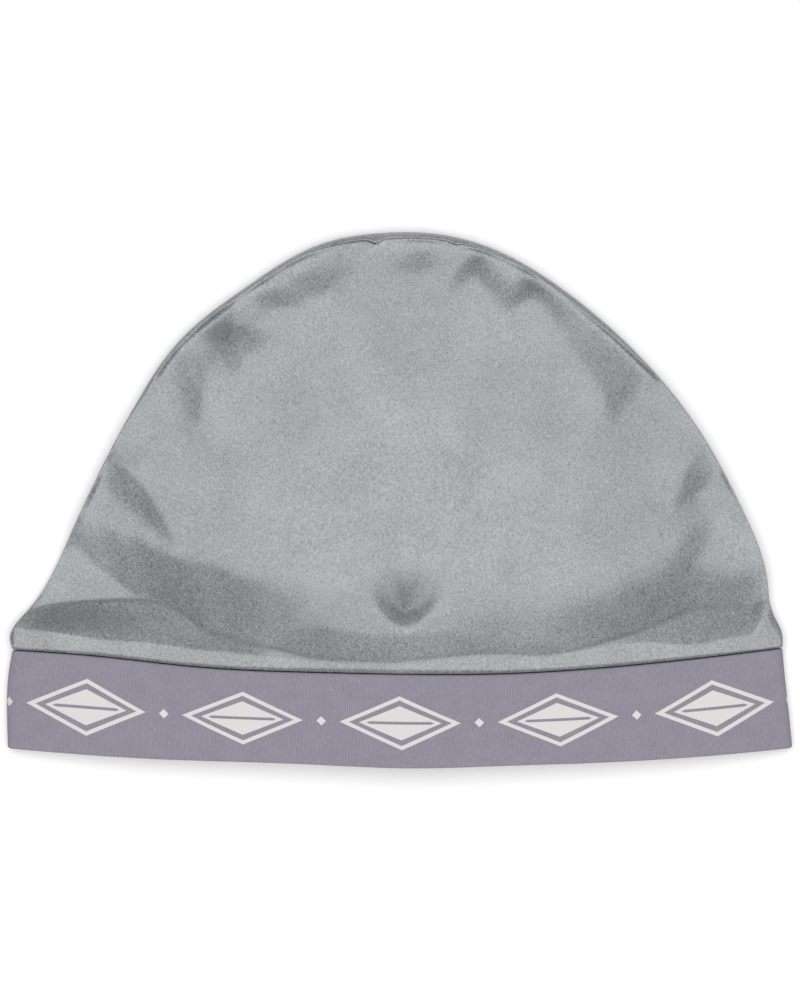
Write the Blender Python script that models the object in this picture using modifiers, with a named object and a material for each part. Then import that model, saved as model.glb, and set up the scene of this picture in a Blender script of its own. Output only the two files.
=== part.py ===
"""Wave cap of stretch satin on a doubled jersey band, lying flat on its back.

X runs across the cap, +Y towards the top of the crown, +Z up from the surface that it lies on.
The origin is on that surface, in the middle of the cap. Sizes are millimetres, and the meshes
are metres.
"""

import math
from typing import NamedTuple

import bmesh
import bpy
import numpy as np

MM = 0.001

# Walls, and the gap between two pieces that are sewn together.
SATIN_WALL = 1.2
BAND_WALL = 1.6
SEAM_GAP = 0.3

# Rise of the cap above the surface: the folded edge, the lip of the crown along its outline,
# the fullness of the crown, and the gap at the middle of the band where a head goes in.
FOLD_RADIUS = 2.4
LIP_RADIUS_SIDE = 2.4
LIP_RADIUS_TOP = 5.0
LIP_SHAPE = 0.6
LIP_RISE_WITHIN = 4.2
LIP_EVEN_BY = 70.0
DOME_RISE = 7.0
DOME_REACH = 64.0
MOUTH_RISE_AT_SEAM = 3.0
MOUTH_RISE_AT_HEM = 8.5
MOUTH_SHAPE = 0.8

# Satin above the band: it rolls over the seam, is drawn down and climbs to the crown.
ROLL_RISE = 1.1
ROLL_REACH = 0.9
CLIMB_BEYOND = 0.3
CROWN_BLEND = 0.9
LEAST_BLEND = 0.01
DENT_CLEAR_OF_SEAM = 3.0

# Turn of the lip, and least height, left between the two panels on each side of their seam,
# and the room left between them further in.
SEAM_TURN = math.radians(4.0)
SEAM_RISE = 0.17
PANEL_GAP = 0.4
GAP_REACH = 5.0

# Point of the crown that its rows of cloth run in to, seen from above.
CROWN_MIDDLE = (0.0, 6.0)


class Edge(NamedTuple):
    """One point of the crown's outline, seen from above."""

    x: float
    y: float


OUTLINE = (
    Edge(-123.8, -48.2),
    Edge(-124.5, -44.8),
    Edge(-118.6, -35.2),
    Edge(-107.6, -16.6),
    Edge(-96.8, 6.7),
    Edge(-84.6, 29.8),
    Edge(-71.0, 50.0),
    Edge(-48.5, 68.2),
    Edge(-24.8, 81.7),
    Edge(-6.0, 85.1),
    Edge(12.0, 84.8),
    Edge(28.6, 80.6),
    Edge(50.7, 68.2),
    Edge(77.3, 45.2),
    Edge(98.1, 18.2),
    Edge(110.2, -4.8),
    Edge(117.6, -26.5),
    Edge(119.2, -36.0),
    Edge(122.4, -43.5),
    Edge(122.5, -47.4),
)


class Section(NamedTuple):
    """One place across the band: its seam to the crown and its hem."""

    x: float
    seam: float
    hem: float


BAND_SECTIONS = (
    Section(-125.0, -48.1, -79.65),
    Section(-95.0, -50.2, -81.65),
    Section(-65.0, -53.4, -82.95),
    Section(-33.0, -55.0, -83.85),
    Section(0.0, -55.7, -85.15),
    Section(33.0, -55.6, -84.55),
    Section(65.0, -53.7, -83.55),
    Section(95.0, -50.8, -81.95),
    Section(125.0, -47.2, -79.55),
)


class Side(NamedTuple):
    """Ends of the band at one share of the way from its seam to its hem."""

    share: float
    left: float
    right: float


BAND_SIDES = (
    Side(0.0, -123.8, 122.5),
    Side(0.22, -125.0, 123.1),
    Side(0.6, -125.6, 124.4),
    Side(1.0, -125.3, 125.7),
)


class Roll(NamedTuple):
    """How far the crown seam is rolled in from the outline, at one share of the outline."""

    share: float
    width: float


SEAM_ROLL = (
    Roll(0.0, 0.1),
    Roll(0.2, 0.3),
    Roll(0.31, 1.5),
    Roll(0.4, 1.8),
    Roll(0.455, 3.1),
    Roll(0.567, 3.1),
    Roll(0.62, 2.0),
    Roll(0.72, 1.4),
    Roll(0.76, 0.3),
    Roll(1.0, 0.1),
)


class Drawn(NamedTuple):
    """The satin drawn down to the band at one place across the cap.

    Each pair is a distance above the band's seam and the height there: the end of the ridge
    along the seam, the bottom of the valley, the foot of the climb, and its top.
    """

    x: float
    ridge: float
    ridge_height: float
    valley: float
    valley_height: float
    foot: float
    foot_height: float
    top: float
    top_height: float


DRAWN = (
    Drawn(-123.0, 6.6, 4.8, 10.1, 4.4, 14.6, 4.6, 18.5, 6.4),
    Drawn(-116.0, 6.2, 6.0, 13.2, 3.8, 19.5, 4.0, 24.5, 6.3),
    Drawn(-108.6, 6.2, 6.5, 15.5, 3.2, 30.9, 3.7, 39.8, 6.6),
    Drawn(-95.8, 5.0, 7.1, 17.5, 2.9, 27.1, 3.2, 41.5, 6.8),
    Drawn(-80.0, 5.8, 7.4, 19.0, 2.9, 20.5, 3.0, 36.8, 8.8),
    Drawn(-64.0, 5.2, 7.8, 18.0, 3.4, 19.2, 3.6, 34.3, 11.5),
    Drawn(-48.0, 4.6, 8.2, 10.6, 6.0, 11.8, 6.3, 30.8, 13.4),
    Drawn(-32.0, 3.5, 8.5, 4.8, 8.3, 8.0, 9.2, 24.6, 13.6),
    Drawn(0.0, 2.9, 8.8, 3.5, 8.8, 7.1, 9.8, 21.5, 13.6),
    Drawn(32.0, 5.2, 8.5, 5.9, 8.5, 9.5, 9.6, 24.6, 13.6),
    Drawn(48.0, 4.3, 8.3, 5.3, 8.3, 8.8, 9.5, 24.5, 13.6),
    Drawn(64.0, 6.1, 7.8, 7.7, 7.4, 10.9, 8.5, 24.6, 12.9),
    Drawn(80.0, 6.4, 7.3, 13.0, 4.8, 14.6, 5.3, 28.7, 10.5),
    Drawn(96.0, 4.0, 7.0, 15.5, 2.9, 16.4, 3.1, 30.5, 7.9),
    Drawn(109.0, 4.9, 6.4, 14.9, 3.2, 15.9, 3.4, 27.1, 6.6),
    Drawn(117.0, 4.4, 6.0, 14.0, 3.8, 14.9, 4.0, 27.7, 6.3),
    Drawn(123.4, 4.2, 3.8, 11.2, 4.2, 12.2, 4.3, 24.7, 6.5),
)


class Dent(NamedTuple):
    """A soft dent of the front panel."""

    x: float
    y: float
    along: float
    across: float
    turn: float
    depth: float


GATHERS = (
    Dent(-66.1, 37.1, 7.0, 4.0, 45.0, 1.9),
    Dent(-58.1, 53.4, 6.0, 3.6, 30.0, 2.5),
    Dent(-51.0, 46.0, 8.0, 3.8, -55.0, 1.5),
    Dent(-37.6, 64.3, 7.0, 3.8, 20.0, 1.9),
    Dent(-27.7, 69.6, 5.0, 3.8, 30.0, 1.7),
    Dent(-19.0, 77.6, 3.5, 2.6, 15.0, 0.9),
    Dent(5.9, 75.2, 6.5, 3.5, 0.0, 1.6),
    Dent(25.1, 75.8, 5.0, 3.2, -15.0, 2.0),
    Dent(18.1, 68.5, 6.0, 3.2, 70.0, 1.2),
    Dent(40.2, 68.2, 5.0, 3.6, -30.0, 2.2),
    Dent(57.0, 47.0, 17.0, 4.4, -54.0, 1.5),
    Dent(72.2, 34.9, 7.5, 4.8, 50.0, 2.0),
    Dent(93.9, 5.4, 8.0, 3.8, 50.0, 1.9),
)

FOLDS = (
    Dent(-83.0, -0.3, 12.0, 4.4, -52.0, 1.6),
    Dent(2.1, -31.5, 9.0, 8.0, 0.0, 3.3),
)

# Divisions of the panels: along the outline, along the band's seam, and in from the edge.
FRONT_OUTLINE = 66
FRONT_SEAM = 30
FRONT_ROWS = 13
BACK_OUTLINE = 44
BACK_SEAM = 14
BACK_ROWS = 4
BACK_LIP = 6
CORNER_TURNS = (30.0, 60.0, 90.0)
ROLL_ROWS = (0.0, 0.8, 1.8, 3.2, 5.0)
ROW_EASE = 1.25
ROW_SPREAD = 0.35
CLOSEST_ROWS = 4.0
LEAST_WAY_IN = 0.4
MERGE_DISTANCE = 0.01
SHARP_EDGE = math.radians(50.0)
OUTLINE_SAMPLES = 801

# Divisions of the band: from seam to hem, along its front and back and round each fold.
BAND_ROWS = 6
BAND_FRONT = 28
BAND_BACK = 20
BAND_FOLD = 6

SATIN_COLOUR = (0.40, 0.42, 0.43, 1.0)
JERSEY_COLOUR = (0.29, 0.27, 0.32, 1.0)


def natural_spline(knots, values, places):
    """Smooth curve through values at knots, with no bend at its two ends, read at places."""
    steps = np.diff(knots)
    count = len(knots)
    system = np.eye(count)
    bends = np.zeros(count)
    slopes = np.diff(values) / steps
    for k in range(1, count - 1):
        system[k, k - 1:k + 2] = (steps[k - 1], 2 * (steps[k - 1] + steps[k]), steps[k])
        bends[k] = 6 * (slopes[k] - slopes[k - 1])
    bends = np.linalg.solve(system, bends)
    k = np.clip(np.searchsorted(knots, places, side="right") - 1, 0, count - 2)
    step = steps[k]
    before = (knots[k + 1] - places) / step
    after = 1 - before
    curve = before * values[k] + after * values[k + 1]
    pull = (before**3 - before) * bends[k] + (after**3 - after) * bends[k + 1]
    return curve + pull * step**2 / 6


def outline_points():
    """The crown's outline as evenly spaced points, from its left corner over the top."""
    x, y = np.array(OUTLINE).T
    run = np.concatenate([[0.0], np.cumsum(np.hypot(np.diff(x), np.diff(y)))])
    fine = np.linspace(0.0, run[-1], 4 * OUTLINE_SAMPLES)
    curve = np.stack([natural_spline(run, x, fine), natural_spline(run, y, fine)])
    length = np.concatenate([[0.0], np.cumsum(np.hypot(*np.diff(curve)))])
    even = np.linspace(0.0, length[-1], OUTLINE_SAMPLES)
    return np.stack([np.interp(even, length, axis) for axis in curve], axis=1)


OUTLINE_POINTS = outline_points()


def outline_at(share):
    """Point of the outline at a share of its length, and the direction straight in from it."""
    places = np.linspace(0.0, 1.0, OUTLINE_SAMPLES)
    way = np.gradient(OUTLINE_POINTS, axis=0)
    way /= np.linalg.norm(way, axis=1, keepdims=True)
    point = [np.interp(share, places, OUTLINE_POINTS[:, axis]) for axis in (0, 1)]
    tangent = [np.interp(share, places, way[:, axis]) for axis in (0, 1)]
    return np.stack(point, -1), np.stack([tangent[1], -tangent[0]], -1)


def nearest_edge(places):
    """Distance from each place to the outline, and the share of the outline nearest to it."""
    away = places[..., None, :] - OUTLINE_POINTS
    square = (away**2).sum(-1)
    nearest = square.argmin(-1)
    distance = np.sqrt(np.take_along_axis(square, nearest[..., None], -1)[..., 0])
    return distance, nearest / (OUTLINE_SAMPLES - 1)


def band_line(column, x):
    """Height on the page of the band's seam or hem at x."""
    sections = np.array(BAND_SECTIONS)
    return natural_spline(sections[:, 0], sections[:, column], np.asarray(x, float))


def band_ends(share):
    """Left and right end of the band at a share of the way from seam to hem."""
    sides = np.array(BAND_SIDES)
    place = np.atleast_1d(np.asarray(share, float))
    return [natural_spline(sides[:, 0], sides[:, column], place) for column in (1, 2)]


def mouth_rise(across, share):
    """How far the front of the band stands off its back, 0 at the folded ends."""
    rise = MOUTH_RISE_AT_SEAM + (MOUTH_RISE_AT_HEM - MOUTH_RISE_AT_SEAM) * share
    return rise * np.clip(1 - across**2, 0, 1) ** MOUTH_SHAPE


def quarter_arc(distance, radius):
    """Rise of a rounded edge at a distance in from it, up to its radius."""
    left = np.clip(1 - distance / radius, 0, 1)
    return radius * np.sqrt(1 - left**2)


def seam_height(x, wall):
    """Height of the crown along the band's seam, at a depth into its wall."""
    left, right = (BAND_SIDES[0].left, BAND_SIDES[0].right)
    middle, half = (left + right) / 2, (right - left) / 2
    across = np.clip((x - middle) / half, -1, 1)
    edge = half * (1 - np.abs(across))
    fold = quarter_arc(np.clip(edge - wall, 0, None), FOLD_RADIUS - wall)
    return FOLD_RADIUS + fold + mouth_rise(across, 0.0)


def lip_radius(share):
    """Radius of the crown's rounded edge at a share of the outline."""
    rise = LIP_RADIUS_TOP - LIP_RADIUS_SIDE
    return LIP_RADIUS_SIDE + rise * np.clip(np.sin(math.pi * share), 0, 1) ** LIP_SHAPE


def seam_width(share):
    """Distance from the outline in to the crown seam at a share of the outline."""
    roll = np.array(SEAM_ROLL)
    return np.interp(share, roll[:, 0], roll[:, 1])


def seam_angle(share):
    """Angle round the crown's lip at which its two panels are sewn together."""
    return np.arccos(1 - seam_width(share) / lip_radius(share))


def eased(part):
    """Smooth step from 0 to 1."""
    part = np.clip(part, 0, 1)
    return part**2 * (3 - 2 * part)


def dome_height(inward):
    """Rise of the crown's fullness at a distance in from its outline."""
    return DOME_RISE * eased(inward / DOME_REACH)


def climb_height(x, above, wall):
    """Height of the satin drawn down to the band, at a depth into its wall."""
    drawn = np.array(DRAWN)
    level = seam_height(x, 0.0) + ROLL_RISE
    height = level - ROLL_RISE * np.exp(-above / ROLL_REACH)
    place = np.zeros_like(x)
    slope = np.zeros_like(x)
    for column in range(1, drawn.shape[1], 2):
        next_place = np.interp(x, drawn[:, 0], drawn[:, column])
        next_level = np.interp(x, drawn[:, 0], drawn[:, column + 1])
        following = (next_level - level) / (next_place - place)
        height += (following - slope) * np.clip(above - place, 0, None)
        place = next_place
        level = next_level
        slope = following
    height += (CLIMB_BEYOND - slope) * np.clip(above - place, 0, None)
    return height + seam_height(x, wall) - seam_height(x, 0.0)


def least_height(inward, share, wall):
    """Least height of the front panel, which keeps it clear of the back panel."""
    turn = seam_angle(share) + SEAM_TURN
    seam = FOLD_RADIUS + (lip_radius(share) - wall) * np.sin(turn)
    within = 2 * SATIN_WALL + PANEL_GAP - wall
    return within + (seam - within) * np.exp(-((inward / GAP_REACH) ** 2))


def dented(places, dents):
    """Depth of all the dents at each place."""
    depth = np.zeros(places.shape[:-1])
    for dent in dents:
        turn = math.radians(dent.turn)
        x = places[..., 0] - dent.x
        y = places[..., 1] - dent.y
        along = (x * math.cos(turn) + y * math.sin(turn)) / dent.along
        across = (y * math.cos(turn) - x * math.sin(turn)) / dent.across
        depth += dent.depth * np.exp(-(along**2) - across**2)
    return depth


def front_height(places, wall, lip_rows):
    """Height of the front panel at a depth into its wall, its first rows on the lip."""
    inward, share = nearest_edge(places)
    radius = lip_radius(share) - wall
    lip = FOLD_RADIUS + quarter_arc(np.clip(inward - wall, 0, None), radius)
    given = ~np.isnan(lip_rows)
    lip[:, :lip_rows.shape[1]][given] = lip_rows[given]
    lip += dome_height(inward)
    lip += (LIP_RISE_WITHIN - lip_radius(share)) * eased(inward / LIP_EVEN_BY)
    above = places[..., 1] - band_line(1, places[..., 0]) - SEAM_GAP / 2
    climb = climb_height(places[..., 0], np.clip(above, 0, None), wall)
    free = np.clip(np.minimum(inward - seam_width(share), above), 0, None)
    fade = 1 - np.exp(-((free / DENT_CLEAR_OF_SEAM) ** 2))
    blend = CROWN_BLEND * (LEAST_BLEND + fade)
    crown = -blend * np.logaddexp(-lip / blend, -climb / blend)
    crown -= fade * dented(places, GATHERS + FOLDS)
    return np.maximum(crown, least_height(inward, share, wall))


def back_height(places, wall, lip_rows):
    """Height of the back panel at a depth into its wall, its first rows on the lip."""
    inward, _ = nearest_edge(places)
    height = FOLD_RADIUS - quarter_arc(np.clip(inward - wall, 0, None), FOLD_RADIUS - wall)
    height = np.minimum(height, FOLD_RADIUS - SEAM_RISE)
    given = ~np.isnan(lip_rows)
    height[:, :lip_rows.shape[1]][given] = lip_rows[given]
    return height


def edge_stations(outline_count, seam_count):
    """Points right round a panel's edge, the way in from each, and its share of the outline."""
    share = np.linspace(0.0, 1.0, outline_count + 1)
    tip, way_in = outline_at(share)
    fold = FOLD_RADIUS * (1 - np.cos(np.radians(CORNER_TURNS)))
    left, right = (BAND_SIDES[0].left, BAND_SIDES[0].right)
    between = np.linspace(right - fold[-1], left + fold[-1], seam_count + 1)[1:-1]
    x = np.concatenate([right - fold, between, left + fold[::-1]])
    foot = np.stack([x, band_line(1, x) + SEAM_GAP / 2], -1)
    tip[[0, -1], 1] = band_line(1, tip[[0, -1], 0]) + SEAM_GAP / 2
    up = np.tile((0.0, 1.0), (len(x), 1))
    for near in (slice(0, len(fold)), slice(-len(fold), None)):
        across = np.array(CROWN_MIDDLE) - foot[near]
        up[near] = across / np.linalg.norm(across, axis=1, keepdims=True)
    none = np.full(len(x), np.nan)
    return np.concatenate([tip, foot]), np.concatenate([way_in, up]), np.append(share, none)


def spread_out(edge):
    """Points round the same edge with none bunched at its corners."""
    loop = np.concatenate([edge, edge[:1]])
    step = np.linalg.norm(np.diff(loop, axis=0), axis=1)
    run = np.concatenate([[0.0], np.cumsum(step)])
    wide = np.concatenate([[0.0], np.cumsum(np.maximum(step, CLOSEST_ROWS))])
    place = wide[:-1] * run[-1] / wide[-1]
    return np.stack([np.interp(place, run, loop[:, axis]) for axis in (0, 1)], -1)


def rows_in(edge, way_in, first_rows, count):
    """Places in rows from the edge to the crown's middle, the first at set distances in."""
    middle = np.array(CROWN_MIDDLE)
    run = middle - edge
    length = np.linalg.norm(run, axis=-1, keepdims=True)
    square = np.clip((run * way_in).sum(-1, keepdims=True) / length, LEAST_WAY_IN, 1)
    first = first_rows / square
    part = (np.arange(1, count + 1) / count) ** ROW_EASE
    rest = first[:, -1:] + (length - first[:, -1:]) * part
    along = (np.concatenate([first, rest], 1) / length)[..., None]
    apart = np.clip(along / ROW_SPREAD, 0, 1)
    apart = apart**2 * (3 - 2 * apart)
    start = edge[:, None] * (1 - apart) + spread_out(edge)[:, None] * apart
    return start + (middle - start) * along


def clear_of_outline(edge, wall):
    """How much further in the inside of a wall starts, where the band's seam meets the fold."""
    inward, _ = nearest_edge(edge)
    return np.clip(wall - inward, 0, None)[:, None]


def place_front(around, profile):
    """Places of the front panel, from its middle over its outer face to its edge and back."""
    edge, way_in, share = edge_stations(FRONT_OUTLINE, FRONT_SEAM)
    start = seam_angle(share)[:, None] + SEAM_TURN
    turns = start + (math.pi / 2 - start) * np.linspace(0.0, 1.0, len(ROLL_ROWS))
    faces = []
    for wall in (0.0, SATIN_WALL):
        radius = lip_radius(share)[:, None] - wall
        plain = np.array(ROLL_ROWS) + clear_of_outline(edge, wall)
        first = np.where(np.isnan(radius), plain, wall + radius * (1 - np.cos(turns)))
        flat = rows_in(edge, way_in, first, FRONT_ROWS)
        height = front_height(flat, wall, FOLD_RADIUS + radius * np.sin(turns))
        faces.append(np.concatenate([flat, height[..., None]], -1))
    places = np.concatenate([faces[0][:, ::-1], faces[1]], 1)
    return places[around % len(edge)][:, profile]


def place_back(around, profile):
    """Places of the back panel, from its middle over its outer face to its edge and back."""
    edge, way_in, share = edge_stations(BACK_OUTLINE, BACK_SEAM)
    stop = seam_angle(share)[:, None] - SEAM_TURN
    turns = stop - (math.pi / 2 + stop) * np.linspace(0.0, 1.0, BACK_LIP + 1)
    faces = []
    for wall in (0.0, SATIN_WALL):
        radius = np.where(turns > 0, lip_radius(share)[:, None], FOLD_RADIUS) - wall
        run = wall + radius * (1 - np.cos(turns))
        plain = np.arange(BACK_LIP + 1.0) + clear_of_outline(edge, wall)
        first = np.where(np.isnan(share)[:, None], plain, run)
        flat = rows_in(edge, way_in, first, BACK_ROWS)
        lip = FOLD_RADIUS + radius * np.sin(turns) + np.where(turns > 0, dome_height(run), 0.0)
        height = back_height(flat, wall, lip)
        faces.append(np.concatenate([flat, height[..., None]], -1))
    places = np.concatenate([faces[0][:, ::-1], faces[1]], 1)
    return places[around % len(edge)][:, profile]


def band_stations():
    """Distance in from a folded end and turn of the wall, all round the band from its back."""
    fold = [("left", math.radians(-90 + 180 * k / BAND_FOLD)) for k in range(BAND_FOLD)]
    fold_back = [("right", math.radians(90 - 180 * k / BAND_FOLD)) for k in range(BAND_FOLD)]
    front = [("front", k / BAND_FRONT) for k in range(BAND_FRONT)]
    back = [("back", 1 - k / BAND_BACK) for k in range(BAND_BACK + 1)]
    middle = BAND_BACK // 2
    return back[middle:-1] + fold + front + fold_back + back[:middle + 1]


def place_band(around, lengthwise):
    """Places of the band's outer face, round the flattened loop and from seam to hem."""
    stations = band_stations()
    share = lengthwise / BAND_ROWS
    left, right = band_ends(share)
    rows = []
    for kind, value in [stations[k] for k in around]:
        if kind in ("left", "right"):
            inward = FOLD_RADIUS * (1 - math.cos(value))
            x = left + inward if kind == "left" else right - inward
            height = np.full(len(share), FOLD_RADIUS * (1 + math.sin(value)))
        else:
            x = left + FOLD_RADIUS + (right - left - 2 * FOLD_RADIUS) * value
            height = np.full(len(share), 2 * FOLD_RADIUS if kind == "front" else 0.0)
        across = (2 * x - left - right) / (right - left)
        if kind == "front" or (kind != "back" and value > 0):
            height = height + mouth_rise(across, share)
        seam = band_line(1, x) - SEAM_GAP / 2
        y = seam + (band_line(2, x) - seam) * share
        rows.append(np.stack([x, y, height], -1))
    return np.stack(rows)


def laid_grid(name, divisions, place):
    """A grid wrapped into a ring and laid on places, its bunched points merged."""
    mesh = bpy.data.meshes.new(name)
    grid = bmesh.new()
    bmesh.ops.create_grid(grid, x_segments=divisions[0], y_segments=divisions[1], size=1.0)
    counts = np.array([vertex.co.xy for vertex in grid.verts]) / 2 + 0.5
    counts = np.rint(counts * divisions).astype(int)
    places = place(np.arange(divisions[0] + 1), np.arange(divisions[1] + 1)) * MM
    for vertex, (across, lengthwise) in zip(grid.verts, counts):
        vertex.co = places[across, lengthwise]
    bmesh.ops.remove_doubles(grid, verts=grid.verts, dist=MERGE_DISTANCE * MM)
    bmesh.ops.recalc_face_normals(grid, faces=grid.faces)
    grid.to_mesh(mesh)
    grid.free()
    mesh.shade_smooth()
    mesh.set_sharp_from_angle(angle=SHARP_EDGE)
    return bpy.data.objects.new(name, mesh)


def dress(piece, colour):
    """Give a piece a plain cloth material."""
    material = bpy.data.materials.new(piece.name)
    material.use_nodes = True
    shader = material.node_tree.nodes["Principled BSDF"]
    shader.inputs["Base Color"].default_value = colour
    shader.inputs["Roughness"].default_value = 0.5
    shader.inputs["Metallic"].default_value = 0.0
    piece.data.materials.append(material)


def crown_front():
    """The satin panel on top, puffed up and gathered along its seams."""
    around = len(edge_stations(FRONT_OUTLINE, FRONT_SEAM)[0])
    profile = 2 * (len(ROLL_ROWS) + FRONT_ROWS) - 1
    panel = laid_grid("crown_front", (around, profile), place_front)
    dress(panel, SATIN_COLOUR)
    return panel


def crown_back():
    """The satin panel below, flat on the surface and turned up round the outline."""
    around = len(edge_stations(BACK_OUTLINE, BACK_SEAM)[0])
    profile = 2 * (BACK_LIP + 1 + BACK_ROWS) - 1
    panel = laid_grid("crown_back", (around, profile), place_back)
    dress(panel, SATIN_COLOUR)
    return panel


def band():
    """The doubled jersey band, a flattened loop that is open at its hem."""
    loop = laid_grid("band", (len(band_stations()) - 1, BAND_ROWS), place_band)
    wall = loop.modifiers.new("Wall", "SOLIDIFY")
    wall.thickness = BAND_WALL * MM
    wall.offset = -1.0
    wall.use_even_offset = True
    dress(loop, JERSEY_COLOUR)
    return loop


def build():
    """Make the three pieces of the cap in their own collection."""
    for old in list(bpy.data.objects):
        bpy.data.objects.remove(old, do_unlink=True)
    cap = bpy.data.collections.new("wave_cap")
    bpy.context.scene.collection.children.link(cap)
    for piece in (crown_front(), crown_back(), band()):
        cap.objects.link(piece)


build()
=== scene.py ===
"""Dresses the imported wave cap: a puffed satin crown of two panels on a printed jersey band.

Sizes in the fields are millimetres on the cap as it lies: X across it, +Y towards the top of
the crown and +Z up from the floor. The meshes are metres, in the frame of the CAD.
"""

import logging
import math
from dataclasses import dataclass, field
from enum import Enum
from functools import cached_property
from typing import NamedTuple, Sequence

import bpy
import numpy as np
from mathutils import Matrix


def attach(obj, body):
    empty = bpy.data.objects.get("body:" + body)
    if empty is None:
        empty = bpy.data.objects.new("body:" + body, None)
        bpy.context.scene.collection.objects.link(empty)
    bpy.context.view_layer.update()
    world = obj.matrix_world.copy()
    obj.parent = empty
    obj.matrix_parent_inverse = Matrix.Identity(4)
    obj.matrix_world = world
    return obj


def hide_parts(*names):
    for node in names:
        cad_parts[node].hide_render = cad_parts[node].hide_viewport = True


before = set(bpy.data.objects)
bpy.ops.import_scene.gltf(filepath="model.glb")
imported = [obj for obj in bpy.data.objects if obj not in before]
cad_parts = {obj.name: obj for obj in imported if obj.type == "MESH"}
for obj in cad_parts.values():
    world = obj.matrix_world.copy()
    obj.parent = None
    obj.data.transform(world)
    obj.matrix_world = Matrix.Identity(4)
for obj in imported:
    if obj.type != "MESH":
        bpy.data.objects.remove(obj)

MM = 0.001
log = logging.getLogger("wave_cap")


class Slot(Enum):
    """The record's material slots."""

    SATIN = "satin"
    JERSEY = "jersey"


class Held(Enum):
    """How a sheet of cloth is held."""

    GATHERED = "gathered"
    LAID = "laid"
    FOLDED = "folded"


# ---------------------------------------------------------------- curves


def natural_spline(knots: np.ndarray, values: np.ndarray, places: np.ndarray) -> np.ndarray:
    """Smooth curve through values at knots: cubic pieces whose bend is 0 at the two ends.

    Args:
        knots: Rising places of the given values.
        values: Value at each knot.
        places: Where the curve is read.

    Returns:
        The curve at each place.
    """
    steps = np.diff(knots)
    count = len(knots)
    system = np.eye(count)
    bends = np.zeros(count)
    slopes = np.diff(values) / steps
    for k in range(1, count - 1):
        system[k, k - 1:k + 2] = (steps[k - 1], 2 * (steps[k - 1] + steps[k]), steps[k])
        bends[k] = 6 * (slopes[k] - slopes[k - 1])
    bends = np.linalg.solve(system, bends)
    k = np.clip(np.searchsorted(knots, places, side="right") - 1, 0, count - 2)
    step = steps[k]
    before = (knots[k + 1] - places) / step
    after = 1 - before
    curve = before * values[k] + after * values[k + 1]
    pull = (before**3 - before) * bends[k] + (after**3 - after) * bends[k + 1]
    return curve + pull * step**2 / 6


def eased_part(part: np.ndarray) -> np.ndarray:
    """A part kept from 0 to 1 and made level at both ends: t * t * (3 - 2t)."""
    part = np.clip(part, 0, 1)
    return part**2 * (3 - 2 * part)


def eased(knots: Sequence[float], values: Sequence[float], places: np.ndarray) -> np.ndarray:
    """Values at knots joined by eased parts, which never pass beyond them.

    Args:
        knots: Rising places of the given values.
        values: Value at each knot.
        places: Where the curve is read.

    Returns:
        The curve at each place, level beyond the first and last knot.
    """
    knots, values = np.asarray(knots, float), np.asarray(values, float)
    k = np.clip(np.searchsorted(knots, places, side="right") - 1, 0, len(knots) - 2)
    part = eased_part((places - knots[k]) / (knots[k + 1] - knots[k]))
    return values[k] * (1 - part) + values[k + 1] * part


def running(steps: np.ndarray) -> np.ndarray:
    """Sum of the steps up to each point, from 0."""
    return np.concatenate([[0.0], np.cumsum(steps)])


def corner(distance: np.ndarray, softness: float) -> np.ndarray:
    """0 before a corner and distance after it, rounded: softness * log(1 + e^(d / softness))."""
    return softness * np.logaddexp(0.0, distance / softness)


def turned(places: np.ndarray, x: float, y: float, turn: float) -> tuple[np.ndarray, np.ndarray]:
    """Distances along and to the left of a line through (x, y) at an angle.

    Args:
        places: Points seen from above, in the last axis.
        x: Place of the line's middle.
        y: Place of the line's middle.
        turn: Degrees from +X.

    Returns:
        Distance along the line and distance to its left.
    """
    cos, sin = math.cos(math.radians(turn)), math.sin(math.radians(turn))
    right, up = places[..., 0] - x, places[..., 1] - y
    return right * cos + up * sin, up * cos - right * sin


# ---------------------------------------------------------------- outline and band lines


OUTLINE = (
    (-123.8, -48.2), (-124.5, -44.8), (-118.6, -35.2), (-107.6, -16.6), (-96.8, 6.7),
    (-84.6, 29.8), (-71.0, 50.0), (-48.5, 68.2), (-24.8, 81.7), (-6.0, 85.1),
    (12.0, 84.8), (28.6, 80.6), (50.7, 68.2), (77.3, 45.2), (98.1, 18.2),
    (110.2, -4.8), (117.6, -26.5), (119.2, -36.0), (122.4, -43.5), (122.5, -47.4),
)
# The outline without its flared corners, carried on down past the band: the crown's fullness
# is measured from it.
BODY_LINE = (
    (-150.0, -88.0), (-139.0, -69.0), (-128.0, -50.5), (-118.0, -34.0), *OUTLINE[3:17],
    (123.0, -46.0), (128.0, -66.0), (133.0, -86.0),
)


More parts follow.
